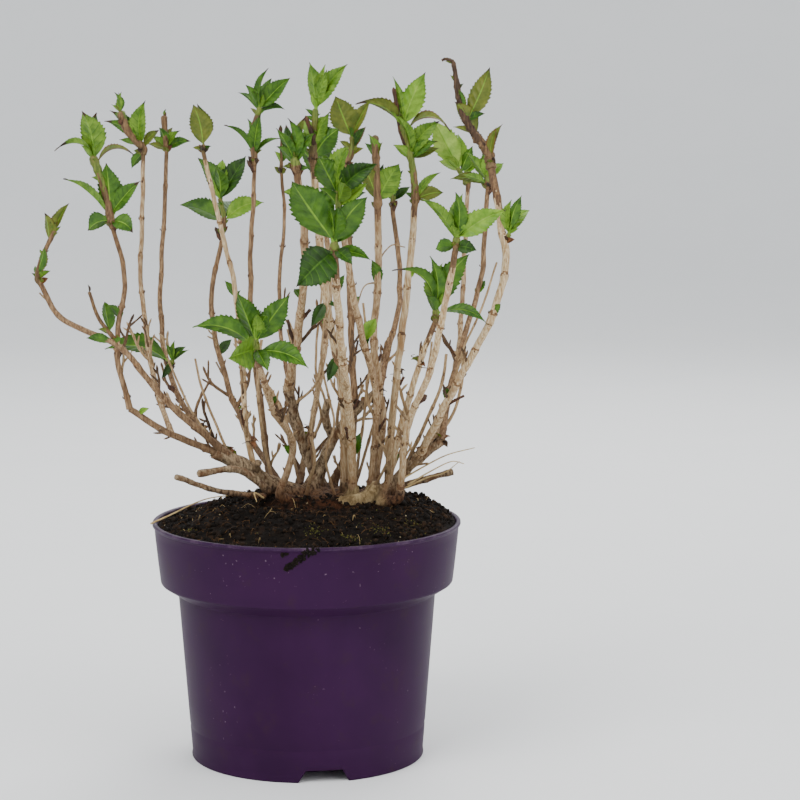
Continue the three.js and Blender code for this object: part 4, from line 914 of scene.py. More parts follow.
def oldWoodMesh():
    heap = Heap()
    dice = random.Random(12)
    base = compost["topHeight"] - 1.2
    cx, cy = crown["middle"]
    # the low stool, as flattened knuckles crowded over its oval
    for k in range(oldWood["knuckles"]):
        turn = k * oldWood["goldenTurn"]
        out = sqrt((k + 0.5) / oldWood["knuckles"])
        x = cx + crown["reach"][0] * 0.86 * out * cos(turn)
        y = cy + crown["reach"][1] * 0.86 * out * sin(turn)
        size = dice.uniform(5.5, 9.5) * (1.1 - 0.35 * out)
        knuckle(heap, (x, y, base + 1.5 + 3.5 * (1 - out * out)), (size, size * 0.9, size * 0.72))
    # the pale swollen foot in front, on the right, that bends up into the canes
    foot = Line([(24, -9, base + 3), (33, -11, base + 4.5), (44, -9, base + 8), (51, -4, base + 17)])
    tube(heap, foot.at(steps(12)), np.linspace(6, 4.4, 12), 0, 12)
    # a collar from the stool to each limb that stands on it
    for name, (start, thick, *_) in limbs.items():
        if not isinstance(start[0], str):
            line = lineOf[name]
            inner = np.array([cx, cy, base + 1])
            inner = inner + (np.array(start, float) - inner) * 0.6
            inner[2] = base + 1
            collar = Line([inner, start, line.at(min(7 / line.length, 1))])
            tube(heap, collar.at(steps(11)), np.linspace(thick, thick * 0.58, 11), 0, 12)
    for name, limb in oldStems.items():
        line = lineOf[name]
        shares = steps(int(line.length / 2.5))
        swell = 1 + 0.22 * hump((shares - 0.62) * line.length, 5)
        swell += 0.18 * hump((1 - shares) * line.length, 6)
        tube(heap, line.at(shares), girthAt(limb, shares) * swell, 0, 14)
    shares = steps(28)
    for stem in cutStems:
        line = Line([stem[0], *stem[3:]])
        swell = 0.84 + 0.1 * hump(shares - 0.9, 0.08) + 0.1 * hump(shares - 0.6, 0.04)
        end = 1 + 0.2 * hump((1 - shares) * line.length, 4)
        tube(heap, line.at(shares), girthAt(stem, shares) * swell * end, 0, 12)
    tube(heap, lineOf["cut_stub"].at(steps(10)), np.linspace(3.2, 2.7, 10), 0, 12)
    return heap.mesh("oldWoodParts")


def knuckle(heap, middle, reach):
    # a lump: the rings of a sphere, stretched
    turns = [pi * (step + 0.5) / 7 for step in range(7)]
    places = [(middle[0], middle[1], middle[2] - cos(turn) * reach[2]) for turn in turns]
    tube(heap, places, [sin(turn) for turn in turns], 0, 12)
    points = heap.points[-1]
    for k in range(2):
        points[:, k] = middle[k] + (points[:, k] - middle[k]) * reach[k]


def stoolBark():
    # grey-brown cracked bark, dark and fibrous low down, with one pale smooth knuckle in front
    skin = Finish("stoolBark", roughness=0.9, specular=0.2)
    cracks = skin.grain(520, 4, 0.65, stretch=(1, 1, 0.45))
    broad = skin.grain(90, 4, 0.6)
    ground = skin.blend(skin.band(cracks, 0.38, 0.62), (70, 52, 38), (152, 132, 104))
    ground = skin.blend(skin.band(broad, 0.5, 0.62) * 0.7, ground, (96, 66, 42))
    low = 1 - skin.band(skin.height() + broad * 0.016, 0.196, 0.206)
    fibrous = skin.blend(skin.band(cracks, 0.4, 0.62), (30, 18, 12), (88, 54, 32))
    ground = skin.blend(low * 0.9, ground, fibrous)
    smooth = skin.blend(skin.band(broad * 0.6 + cracks * 0.4, 0.42, 0.6), (96, 78, 50), (160, 140, 102))
    near = 1 - skin.band(skin.awayFrom((0.038, -0.012, 0.187)) + broad * 0.014, 0.019, 0.027)
    skin.wear("colour", skin.blend(near * 0.92, ground, smooth))
    skin.bump(cracks * 0.7 + skin.grain(300, 4) * 0.6, 0.8, 0.0012)
    return skin


def makeOldWood():
    work = bpy.data.objects.new("oldWoodWork", oldWoodMesh())
    scene.collection.objects.link(work)
    fuse = work.modifiers.new("fuse", "REMESH")
    fuse.mode = "VOXEL"
    fuse.voxel_size = oldWood["voxel"] * mm
    bpy.context.view_layer.update()
    shown = work.evaluated_get(bpy.context.evaluated_depsgraph_get())
    mesh = bpy.data.meshes.new_from_object(shown)
    bpy.data.objects.remove(work)
    mesh.name = "woody_crown_and_old_stems"
    places = np.zeros(len(mesh.vertices) * 3)
    normals = np.zeros(len(mesh.vertices) * 3)
    mesh.vertices.foreach_get("co", places)
    mesh.vertex_normals.foreach_get("vector", normals)
    places = places.reshape(-1, 3) / mm
    # bark fissures, stretched upright, and small lumps
    rise = [lump(x / 2.4, y / 2.4, z / 5) * 0.5 + lump(x / 7, y / 7, z / 7) * 0.8 for x, y, z in places]
    places += normals.reshape(-1, 3) * (np.array(rise) * oldWood["fissure"])[:, None]
    places[:, 2] = np.maximum(places[:, 2], compost["topHeight"] - 2.6)
    mesh.vertices.foreach_set("co", (places * mm).ravel())
    stand(mesh, [stoolBark()], ["woody_crown", "cut_stub", *oldStems])


makeOldWood()


# Canes: jointed bark, a pair of buds at each joint
cane = dict(step=1.25, sides=14, run=60, jointAt=(0.62, 0.12), swell=0.17, ridge=0.1, flare=0.16,
            relief=0.075, budLong=(1.3, 2.6), budWide=0.75, wander=0.55, saddle=0.9, tipRun=7)
strawCanes = ["cane_front", "cane_tall_right", "cane_right_pale", "cane_far_right_low",
              "cane_far_right_high", "cane_centre", "cane_mid_left", "cane_right_low"]
brownCanes = ["cane_left_low", "cane_left_high", "cane_left_inner", "cane_mid_left_back", "cane_right_back",
              "cane_right_rear", "cane_back_left", "cane_thin", "cane_centre_back", "cane_far_left"]
# millimetres of brown young wood below a cane's shoot, where it isn't the usual run
tipRuns = dict(cane_front=22, cane_right_low=16, cane_right_pale=15, cane_far_right_high=26,
               cane_right_back=16, cane_left_high=26, cane_low_front=12, cane_left_low=0,
               cane_far_right_low=0)
# seeded side twigs: one for every so many millimetres of limb, up to this height
tangle = dict(every=15, highest=300, angle=(0.5, 1.5), lengths=[4, 5, 7, 9, 12, 17, 24, 34],
              thick=(0.55, 0.016), sides=8, margin=4)
thickets = dict(old_stem_left=8, cane_mid_left=10, cane_left_inner=9, cane_mid_left_back=10,
                cane_left_back=10, old_stem_middle=9, cane_low_front=11)
# short dead side twigs: limb, share of the way up, side, fore, length
deadTwigs = [
    ("cane_far_left", 0.93, -60, 10, 9), ("cane_left_low", 0.5, -70, 30, 12),
    ("cane_mid_left", 0.12, -20, 40, 20), ("cane_mid_left", 0.34, 30, 10, 13),
    ("cane_mid_left_back", 0.3, 45, 20, 15), ("cane_low_front", 0.55, 60, 20, 10),
    ("cane_centre_left", 0.22, -35, 30, 24), ("cane_centre_left", 0.34, 40, 10, 12),
    ("cane_centre", 0.2, 25, 25, 17), ("cane_centre", 0.36, -40, 0, 12), ("cane_front", 0.18, -30, 25, 15),
    ("cane_front_right", 0.2, 30, 20, 14), ("cane_right_centre", 0.3, -50, 10, 11),
    ("cane_right_centre", 0.45, 45, 5, 9), ("cane_tall_right", 0.34, 55, 0, 14),
    ("cane_right_low", 0.4, 60, 10, 13), ("cane_right_pale", 0.3, -45, 20, 15),
    ("cane_far_right_low", 0.4, 62, 10, 16), ("cane_right_rear", 0.3, 40, -20, 14),
    ("cane_right_far", 0.4, -30, -20, 12), ("cane_back", 0.4, 40, -20, 14),
    ("cane_back_left", 0.45, -40, -25, 15), ("cane_centre_back", 0.4, 35, -10, 16),
    ("cane_left_back", 0.3, -50, -10, 12), ("old_stem_dark", 0.6, 35, -20, 17),
    ("old_stem_middle", 0.5, -40, 0, 15), ("old_stem_left", 0.6, -35, 25, 16),
    ("old_stem_left", 0.35, 20, 40, 14), ("old_stem_right", 0.6, 50, 20, 15),
    ("old_stem_right", 0.4, 30, -40, 12),
]
# dry stumps of last year's tips beside the new shoots: the same, then thickness
deadTips = [
    ("shoot_thin", 0.9, -6, 0, 8, 2.4), ("cane_centre_left", 0.98, -34, 8, 12, 3),
    ("cane_centre_left", 0.98, 28, -16, 10, 2.6), ("shoot_centre", 0.3, -9, 6, 24, 3.2),
    ("shoot_tall_right", 0.68, -16, 8, 46, 3.2), ("shoot_left_twin", 0.72, -62, 18, 6, 3.6),
    ("shoot_left_bare_tip", 0.9, 14, 0, 6, 2), ("cane_mid_left_back", 0.98, -38, 16, 10, 3),
    ("cane_right_back", 0.98, 26, 10, 9, 2.6), ("cane_right_rear", 0.98, 32, 10, 12, 2.6),
    ("cane_right_low", 0.98, 44, 16, 7, 2.6), ("cane_back", 0.98, 24, -30, 12, 2.8),
    ("cane_back_left", 0.98, -34, -24, 12, 2.8), ("cane_right_far", 0.98, 22, -20, 12, 2.6),
    ("cane_left_high", 0.98, 30, 10, 7, 2.4), ("cane_right_pale", 0.4, 64, 10, 8, 5),
    ("cane_left_inner", 0.3, -50, 20, 8, 3.6),
]
# thin canes and long side twigs that cross between the main ones: start, thickness, places
thinCanes = [
    (("cane_mid_left", 0.12), 2.6, (-46, 22, 250), (-48, 24, 276), (-52, 26, 300)),
    ((-24, 16, 190), 3, (-33, 22, 231), (-36, 26, 267), (-33, 30, 296)),
    ((-20, 2, 189), 3.4, (-10, -8, 222), (-14, -14, 244), (-34, -28, 286), (-38, -34, 304)),
    (("old_stem_middle", 0.32), 2.6, (4, 22, 226), (10, 20, 240), (8, 16, 254)),
    (("old_stem_middle", 0.82), 2.2, (5, 19, 264), (12, 18, 281)),
    (("cane_right_rear", 0.13), 2, (112, 18, 290), (126, 22, 322), (136, 28, 352)),
    (("old_stem_right", 0.8), 2.6, (103, 11, 242), (111, 14, 265), (113, 18, 290)),
    (("old_stem_right", 0.25), 3, (84, 14, 236), (96, 20, 262), (100, 26, 286)),
    ((34, 20, 190), 2.4, (40, 26, 236), (44, 30, 282), (40, 36, 322)),
    (("old_stem_left", 0.75), 2.2, (-66, 6, 240), (-76, 12, 266), (-80, 16, 284)),
    (("old_stem_left", 0.9), 2, (-84, 4, 252), (-98, 16, 280), (-104, 20, 300)),
    ((-6, 34, 190), 2.6, (-16, 52, 230), (-10, 60, 268), (-16, 66, 300)),
    ((34, 34, 190), 2.4, (48, 62, 232), (52, 76, 270), (58, 84, 292)),
    ((56, 20, 190), 2.4, (72, 44, 226), (86, 62, 262), (90, 72, 290)),
    ((0, -8, 189), 2.6, (6, -22, 214), (4, -30, 240), (8, -38, 262)),
    ((46, -4, 190), 2.2, (60, -24, 222), (62, -34, 250), (66, -42, 276)),
    ((20, -6, 189), 2, (14, -14, 216), (20, -20, 244), (12, -30, 284), (14, -34, 318)),
    ((10, 24, 190), 2.2, (16, 34, 232), (6, 42, 274), (10, 46, 330)),
    (("cane_right_centre", 0.75), 1.1, (43, -10, 339), (38, -24, 330), (36, -30, 322)),
    (("cane_right_centre", 0.82), 1.1, (56, 2, 362), (61, 6, 366), (70, 12, 364)),
]
# dry curled scraps that cling to the low limbs: limb, share of the way up, size
scraps = [
    ("old_stem_right", 0.7, 7), ("old_stem_right", 0.98, 9), ("cane_right_centre", 0.35, 5),
    ("cane_tall_right", 0.4, 7), ("old_stem_left", 0.7, 11), ("cane_mid_left", 0.1, 7),
    ("old_stem_left", 0.92, 7), ("cane_left_inner", 0.16, 7), ("cane_right_low", 0.74, 10),
    ("old_stem_dark", 0.8, 8), ("cane_front", 0.3, 4), ("old_stem_middle", 0.85, 9),
    ("cane_centre_left", 0.12, 8), ("cane_back", 0.2, 7), ("old_stem_left", 0.4, 9),
    ("old_stem_left", 0.55, 8), ("cane_left_inner", 0.06, 7), ("cane_mid_left", 0.2, 6),
    ("old_stem_right", 0.55, 7),
]


def jointShares(length):
    count = max(1, round(length / cane["run"]))
    return sorted((i + place) / count for i in range(count) for place in cane["jointAt"])


def jointedStem(heap, line, ends, joints, seed, looks=(0, 1), sides=cane["sides"], tipRun=0):
    # a round stem that swells at each joint, its bark finely ribbed; looks: bark, joint, tip
    rings = max(8, int(line.length / cane["step"]))
    shares = steps(rings)
    along = shares * line.length
    girth = taper(*ends, shares)
    turns = evenTurns(sides)
    shape = np.ones((rings, sides)) * (1 + cane["flare"] * hump(along, 6))[:, None]
    atJoint = np.zeros((rings, sides))
    for k, joint in enumerate(joints):
        # each joint rises to its two buds, and no two are equally strong
        firm = 0.62 + 0.38 * sin(seed * 2.7 + k * 1.9)
        saddle = cane["saddle"] * np.cos(2 * turns + k * pi)
        off = (along - joint * line.length)[:, None] - saddle[None, :]
        shape += cane["swell"] * (0.5 + 0.5 * firm) * hump(off, 2.6)
        shape += cane["ridge"] * firm * hump(off - 1.6, 0.8)
        shape -= cane["ridge"] * 0.6 * firm * hump(off - 3.2, 0.9)
        atJoint = np.maximum(atJoint, (0.72 + 0.28 * firm) * hump(off - 1, 2.4))
    radii = np.zeros((rings, sides))
    for r in range(rings):
        for i in range(sides):
            x, y = around(1.6, turns[i])
            rough = lump(x * 1.7 + seed * 3.7, y * 1.7, along[r] / 7)
            rough += 0.6 * lump(x, y + seed, along[r] / 2.2)
            radii[r, i] = girth[r] * shape[r, i] * (1 + cane["relief"] * rough)
    faceLooks = []
    for r in range(rings - 1):
        for i in range(sides):
            edge = lump(i * 0.9, seed * 2.3, along[r] / 2) * 0.35
            tipEdge = tipRun * (1 + 0.9 * lump(i * 0.8, seed * 1.3, along[r] / 6))
            nearTip = line.length - along[r] < tipEdge
            faceLooks.append(looks[2] if nearTip else looks[1] if atJoint[r, i] + edge > 0.78 else looks[0])
    places = line.at(shares)
    # a real cane is never quite straight between its joints
    free = np.sin(pi * shares) ** 0.5
    for k in range(3):
        drift = np.array([lump(a / 17, seed * 5.1 + k * 9, 0.5) for a in along])
        places[:, k] += drift * free * cane["wander"] * 2
    tube(heap, places, radii, faceLooks, sides)


def roundedEnd(along, length, radius):
    # 1 along a stem and down to a small tip over its last radius
    over = np.clip((along - (length - radius)) / radius, 0, 0.97)
    return np.sqrt(1 - over ** 2)


def budPair(heap, line, share, radius, turn, size):
    # two small pointed buds, one on each side, that lean up along the stem
    way = line.way(share)
    across, aside = beside(way, [0.3, 1, 0.2])
    wide = cane["budWide"] * size / 3.4
    for half in (0, pi):
        out = across * cos(turn + half) + aside * sin(turn + half)
        foot = line.at(share) + out * radius * 0.7
        middle = foot + out * size * 0.38 + way * size * 0.35
        bud = Line([foot, middle, foot + out * size * 0.4 + way * size * 0.95])
        tube(heap, bud.at(steps(6)), [wide * w for w in (0.75, 1, 0.95, 0.72, 0.4, 0.08)], 0, 7)


def deadTwig(heap, line, share, radius, side, fore, long, dice, look):
    # a short dry twig, crooked, with a broken end
    start = line.at(share)
    way = unit(directionOf(side, fore) + line.way(share) * 0.35)
    bend = unit(np.array([dice.uniform(-1, 1), dice.uniform(-1, 1), dice.uniform(-0.3, 1)]))
    middle = start + way * long * 0.55 + bend * long * 0.08
    twig = Line([start, middle, start + way * long + bend * long * 0.2])
    shares = steps(12)
    thick = radius * dice.uniform(0.34, 0.48)
    radii = thick * (1.15 - 0.35 * shares + 0.28 * hump(shares - 0.55, 0.07) + 0.2 * hump(1 - shares, 0.08))
    tube(heap, twig.at(shares), radii, look, 9)


def crookedTwig(heap, start, way, long, radius, dice, look):
    # a side twig that steps aside at its joints and ends in a dry knob
    places = [start]
    bends = 2 + int(long / 12)
    for _ in range(bends):
        turn = np.array([dice.uniform(-0.3, 0.3), dice.uniform(-0.3, 0.3), dice.uniform(0, 0.34)])
        way = unit(way + turn)
        places.append(places[-1] + way * long / bends)
    line = Line(places)
    shares = steps(max(6, int(line.length / 1.5)))
    joints = 1 + int(line.length / 11)
    shape = 1.2 - 0.45 * shares + 0.3 * hump((1 - shares) * line.length, 1.2)
    for j in range(joints):
        shape += 0.22 * hump((shares - (j + 0.6) / joints) * line.length, 1.3)
    shape *= roundedEnd(shares * line.length, line.length, radius)
    tube(heap, line.at(shares), radius * shape, look, tangle["sides"])
    return line


def insideBox(point):
    # a little inside the solids' own box, so that no twig makes the plant larger
    low, high = cadBox
    return all(low[k] / mm + tangle["margin"] < point[k] < high[k] / mm - tangle["margin"] for k in range(3))


def makeCanes():
    dice = random.Random(5)
    heaps = dict(straw=Heap(), tan=Heap(), brown=Heap())
    nodes = dict(straw=[], tan=[], brown=[])
    twigs = Heap()
    buds = Heap()
    for number, (name, limb) in enumerate(canes.items()):
        if name == "cut_stub":
            continue
        tone = "straw" if name in strawCanes else "brown" if name in brownCanes else "tan"
        nodes[tone].append(name)
        line = lineOf[name]
        joints = jointShares(line.length)
        tipRun = tipRuns.get(name, cane["tipRun"])
        jointedStem(heaps[tone], line, limb[1:3], joints, number, (0, 1, 2), tipRun=tipRun)
        for k, joint in enumerate(joints):
            turn = dice.uniform(-0.4, 0.4) + k * pi / 2
            budPair(buds, line, joint, girthAt(limb, joint) * 1.25, turn, dice.uniform(*cane["budLong"]))
    for name, share, *lean in deadTwigs:
        radius = girthAt(limbs[name], share)
        deadTwig(twigs, lineOf[name], share, radius, *lean, dice, dice.choice([0, 0, 1]))
    for name, share, side, fore, long, thick in deadTips:
        crookedTwig(twigs, lineOf[name].at(share), directionOf(side, fore), long, thick / 2, dice, 1)
    jointBark = bark("jointBark", (140, 108, 74), (96, 68, 44), (76, 52, 36), 0.8)
    youngBark = bark("youngBark", (126, 96, 64), (80, 56, 38), (84, 66, 40), 0.7, 0.0005)
    skins = dict(straw=bark("strawBark", (208, 188, 152), (154, 124, 84), (138, 104, 68)),
                 tan=bark("tanBark", (188, 164, 128), (128, 98, 66), (112, 82, 54)),
                 brown=bark("brownBark", (152, 123, 90), (94, 68, 45), (84, 60, 40)))
    for tone, heap in heaps.items():
        heap.piece("canes_" + tone, "cane", [skins[tone], jointBark, youngBark], nodes[tone])
    twigs.piece("dead_side_twigs", "cane", [bark("greyTwig", (150, 126, 94), (104, 82, 58), (90, 72, 54)),
                                            bark("deadTipBark", (96, 62, 40), (52, 34, 26), (44, 32, 26))])
    scale = bark("budScale", (96, 64, 42), (58, 36, 26), (46, 30, 22), 0.6, 0.0003)
    buds.piece("cane_buds", "cane", [scale])


def makeTangle():
    # the thicket of fine dry twigs low in the plant
    dice = random.Random(77)
    heap = Heap()
    for name, limb in limbs.items():
        line = lineOf[name]
        for _ in range(int(line.length / thickets.get(name, tangle["every"]))):
            share = dice.uniform(0.04, 0.8)
            foot = line.at(share)
            if foot[2] > tangle["highest"]:
                continue
            way = line.way(share)
            across, aside = beside(way, [0.2, 1, 0.1])
            turn = dice.uniform(0, 2 * pi)
            out = across * cos(turn) + aside * sin(turn)
            lean = unit(way + out * dice.uniform(*tangle["angle"]) + np.array([0, 0, 0.4]))
            long = dice.choice(tangle["lengths"])
            radius = min(girthAt(limb, share) * 0.5, tangle["thick"][0] + tangle["thick"][1] * long)
            look = dice.choice([0, 0, 1, 2])
            if not insideBox(foot + lean * long * 1.1):
                continue
            twig = crookedTwig(heap, foot, lean, long, radius, dice, look)
            if long > 16:
                for place in (0.45, 0.7):
                    side = unit(twig.way(place) + across * dice.choice([-1, 1]) * dice.uniform(0.5, 1.1))
                    short = long * dice.uniform(0.2, 0.45)
                    crookedTwig(heap, twig.at(place), side, short, radius * 0.7, dice, look)
    for number, (start, thick, *places) in enumerate(thinCanes):
        line = Line([startOf(start), *places])
        jointedStem(heap, line, (thick, thick * 0.72), jointShares(line.length), 60 + number, sides=10)
    driedCurls(heap, dice)
    finishes = [bark("paleTwig", (176, 150, 112), (128, 102, 70), (112, 88, 60)),
                bark("brownTwig", (136, 106, 72), (88, 64, 42), (78, 58, 42)),
                bark("darkTwig", (104, 78, 52), (58, 42, 30), (52, 38, 28))]
    heap.piece("fine_twigs", "cane", finishes)


def driedCurls(heap, dice):
    for name, share, size in scraps:
        place = lineOf[name].at(share)
        for _ in range(2):
            turn = dice.uniform(0, 2 * pi)
            lift = dice.uniform(-0.4, 0.9)
            shares = steps(18)
            swirl = turn + shares * dice.uniform(2, 4.5)
            reach = size * shares * (1 - 0.35 * shares)
            curl = np.stack([reach * np.cos(swirl), reach * np.sin(swirl), size * lift * shares], axis=1)
            tube(heap, place + curl, np.linspace(0.55, 0.2, 18), dice.choice([0, 2]), 5)


makeCanes()
makeTangle()


# Leafy shoots: soft stems with opposite toothed leaves
blade = dict(teeth=0.095, pillow=0.015, groove=0.05, fold=(0.26, 0.7), skew=0.42, mostSkew=0.19, thin=0.35,
             stalk=0.09, wave=0.035, sway=0.05, twist=0.4, tipCurl=0.05, slim=0.95)
# shares of each vein's run at which the blade has a row: its height between veins, its tooth
veinRows = [(-0.05, 0.06, 0.8), (0.05, 0.06, 1), (0.17, 0.6, -0.75), (0.5, 1.0, 0.9), (0.62, 0.93, -0.7),
            (0.82, 0.55, -0.05)]
halfColumns = [0.05, 0.42, 0.8, 1]
columns = [-c for c in reversed(halfColumns)] + [0] + halfColumns
# names, dark and light colours of the leaf looks, by their numbers
leafColours = [
    ("freshGreen", (40, 77, 6), (74, 113, 18)), ("deepGreen", (23, 49, 3), (45, 81, 10)),
    ("limeGreen", (86, 128, 20), (126, 162, 48)), ("paleGreen", (106, 142, 42), (144, 172, 70)),
    ("oliveGreen", (70, 84, 14), (104, 110, 34)), ("redMargin", (82, 48, 24), (118, 74, 40)),
    ("driedTip", (38, 26, 18), (72, 50, 30)), ("youngGreen", (68, 104, 14), (108, 142, 40)),
]
# a leaf's looks, how much of its point is dried, and whether its margin is red
Tint = namedtuple("Tint", "main rib vein stalk dry edged")
# the look of a leaf's underside, midrib, veins, stalk and young leaflets, where it isn't the main one
underLook = {deep: fresh, red: olive}
ribLook = {fresh: lime, deep: fresh, lime: pale, pale: lime, olive: lime, young: lime}
veinLook = {fresh: deep, deep: fresh, young: fresh}
stalkLook = {deep: fresh, fresh: lime, young: lime}
youngLook = {fresh: young, deep: fresh, young: lime}


def outlineAt(t, wide):
    # half the leaf's width along it, as a share of the widest: a slim leaf has a longer point
    point = 1 - 0.42 * max((t - 0.7) / 0.3, 0) ** 2
    return sin(pi * t ** 0.82) ** (1.22 - 0.55 * wide) * point


class Blade:
    # a leaf's own frame, by the rule of the part's source
    def __init__(self, root, leaf):
        self.root = root
        self.long = leaf.long
        self.half = leaf.long * leaf.wide / 2 * blade["slim"]
        self.chord = directionOf(leaf.side, leaf.fore)
        down = np.array([0, 0, -1.0])
        pull = down - self.chord * down.dot(self.chord)
        aside = np.array([1.0 if leaf.side >= 0 else -1.0, 0, 0])
        steep = np.linalg.norm(pull) > 0.35
        self.droop = unit(pull) if steep else unit(aside - self.chord * aside.dot(self.chord))
        flat, turned = beside(self.chord, [0, -1.0, 0])
        face = radians(leaf.face)
        self.across = flat * sin(face) - turned * cos(face)
        self.normal = np.cross(self.across, self.chord)
        if self.normal.dot(self.droop) > 0:
            self.across, self.normal = -self.across, -self.normal
        self.rise = tan(radians(min(leaf.arch, 120)) / 2) * self.long

    def centre(self, u):
        return self.root + self.chord * u * self.long - self.droop * self.rise * u * (1 - u)

    def lean(self, u):
        # the upper side's direction where the arch has turned the blade
        along = unit(self.chord * self.long - self.droop * self.rise * (1 - 2 * u))
        out = np.cross(self.across, along)
        return unit(out if out.dot(self.normal) > 0 else -out)


def bladeRows(long):
    # along the leaf: the place, the height between veins, the tooth, and whether it is on a vein
    veins = 7 if long > 27 else 5 if long > 15 else 3
    rows = [(0.0, 0.0, 0.0, False)]
    for k in range(veins):
        for phase, rise, tooth in veinRows:
            u = (k + 0.45 + phase) / (veins + 0.35)
            if 0.02 < u < 0.985:
                rows.append((u, rise, tooth * clamp((u - 0.08) / 0.2), abs(phase) < 0.1))
    rows.append((1.0, 0.0, 0.0, False))
    return sorted(rows)


def growLeaf(heap, root, leaf, tint, seed):
    # one thin closed toothed blade on its stalk
    own = Blade(root, leaf)
    main, rib, vein, stalk, dry, edged = tint
    dice = random.Random(seed)
    long, half, wide = own.long, own.half, leaf.wide
    sway = dice.uniform(-1, 1) * blade["sway"] * long
    twist = dice.uniform(-1, 1) * blade["twist"]
    curl = dice.uniform(0, blade["tipCurl"]) + (0.03 if dry > 0.08 else 0)
    fold = dice.uniform(*blade["fold"])
    phase = dice.uniform(0, 2 * pi)
    skew = min(blade["skew"] * wide, blade["mostSkew"])
    rows = bladeRows(long)
    start = blade["stalk"] if long > 15 else 0.05
    top = []
    for u, rise, tooth, _ in rows:
        for v in columns:
            away = abs(v)
            ahead = min(u + skew * away * 4 * u * (1 - u) + (0.01 if tooth > 0.5 and away > 0.9 else 0), 1)
            t = start + (1 - start) * ahead
            x = half * outlineAt(min(max(ahead, 0.004), 0.996), wide) * v
            x *= 1 + blade["teeth"] * tooth * (away > 0.9)
            puff = blade["pillow"] * long * rise * sin(pi * min(away / 0.95, 1)) ** 0.7
            groove = -blade["groove"] * half * exp(-(v / 0.12) ** 2)
            wave = blade["wave"] * half * 2 * away ** 2 * sin(9 * u + phase + (2 if v > 0 else 0))
            lift = fold * abs(x) + puff + groove + wave - curl * long * max(ahead - 0.6, 0) ** 2 * 6.25
            turn = twist * (u - 0.3)
            normal = own.lean(t)
            across = own.across * cos(turn) + normal * sin(turn)
            top.append(own.centre(t) + across * (x + sway * sin(pi * ahead)) + normal * lift)

    def lookAt(u, away, onVein):
        if dry and u > 1 - dry - 0.05 * away:
            return dried
        if edged and (away > 0.75 or u > 0.86):
            return red
        if away < 0.03:
            return rib
        return vein if onVein and away < 0.8 else main

    count = len(columns)
    lower = len(top)
    points = np.concatenate([top, np.array(top) - own.lean(0.5) * blade["thin"]])
    faces = []
    looks = []
    for r in range(len(rows) - 1):
        u = rows[r][0]
        for c in range(count - 1):
            a, b = r * count + c, r * count + c + 1
            upper = lookAt(u, abs(columns[c] + columns[c + 1]) / 2, rows[r][3] and rows[r + 1][3])
            faces.append((a, b, b + count, a + count))
            faces.append((lower + a, lower + a + count, lower + b + count, lower + b))
            looks += [upper, underLook.get(upper, upper)]
        a, b = r * count, (r + 1) * count - 1
        faces.append((lower + a, lower + a + count, a + count, a))
        faces.append((b, b + count, lower + b + count, lower + b))
        looks += [lookAt(u, 1, False)] * 2
    if own.lean(0.5).dot(np.cross(points[1] - points[0], points[count] - points[0])) < 0:
        faces = [face[::-1] for face in faces]
    heap.add(points, faces, looks)
    # the stalk widens where it clasps its stem
    stem = [own.centre(start * s) for s in (-0.3, 0.25, 0.8, 1.4)]
    clasp = long * 0.028 + 0.4
    tube(heap, stem, [clasp, clasp * 0.8, clasp * 0.55, 0.25], stalk, 7)


# small leaves straight on the canes: cane, share of the way up, side, fore, length, colour, width
caneLeaves = [
    ("cane_far_left", 0.66, -76, 24, 20, fresh, 0.36), ("cane_left_high", 0.5, -38, 16, 14, fresh, 0.44),
    ("cane_left_low", 0.9, 60, 20, 10, lime, 0.44), ("cane_centre_left", 0.45, -30, 40, 14, deep, 0.44),
    ("cane_centre", 0.43, -164, 12, 21, deep, 0.4), ("cane_centre", 0.6, -150, 16, 21, deep, 0.44),
    ("cane_front", 0.13, 16, -12, 20, fresh, 0.46), ("cane_front", 0.84, 20, -14, 15, fresh, 0.4),
    ("cane_front_right", 0.56, 26, -20, 20, lime, 0.5), ("cane_front_right", 0.54, 8, -20, 16, deep, 0.4),
    ("cane_right_centre", 0.72, -9, 20, 25, fresh, 0.34),
    ("cane_right_centre", 0.28, -24, 30, 9, deep, 0.44), ("cane_tall_right", 0.07, 38, 10, 12, fresh, 0.46),
    ("cane_tall_right", 0.74, 36, 20, 9, lime, 0.44), ("cane_low_front", 0.22, -24, 24, 12, deep, 0.5),
    ("cane_low_front", 0.62, 24, 20, 9, fresh, 0.44), ("cane_far_right_low", 0.43, -8, 20, 13, fresh, 0.46),
    ("cane_far_right_high", 0.05, 34, 20, 12, fresh, 0.5),
    ("cane_right_rear", 0.6, 30, -30, 14, fresh, 0.44), ("old_stem_left", 0.22, -84, 34, 10, deep, 0.4),
    ("cane_back", 0.6, -40, -30, 18, fresh, 0.44), ("cane_back_left", 0.55, 36, -30, 17, deep, 0.44),
    ("cane_centre_back", 0.55, 30, -30, 15, fresh, 0.44),
    ("cane_mid_left", 0.55, -34, -10, 15, fresh, 0.44),
]


def oneTint(main, dry=0):
    return Tint(main, main, main, main, dry, False)


def tintFor(shoot, number, arch, dice):
    main = shoot.mains[number % len(shoot.mains)]
    dry = shoot.dried * dice.uniform(0.2, 1.3) if shoot.dried else 0
    edged = shoot.red and (number == 0 or dice.random() < 0.6)
    if arch > 75:
        # a leaf that curls right over has dried from its point inwards
        dry = max(dry, dice.uniform(0.14, 0.26))
        edged = main == olive
    looks = [look.get(main, main) for look in (ribLook, veinLook, stalkLook)]
    return Tint(main, *looks, dry, edged)


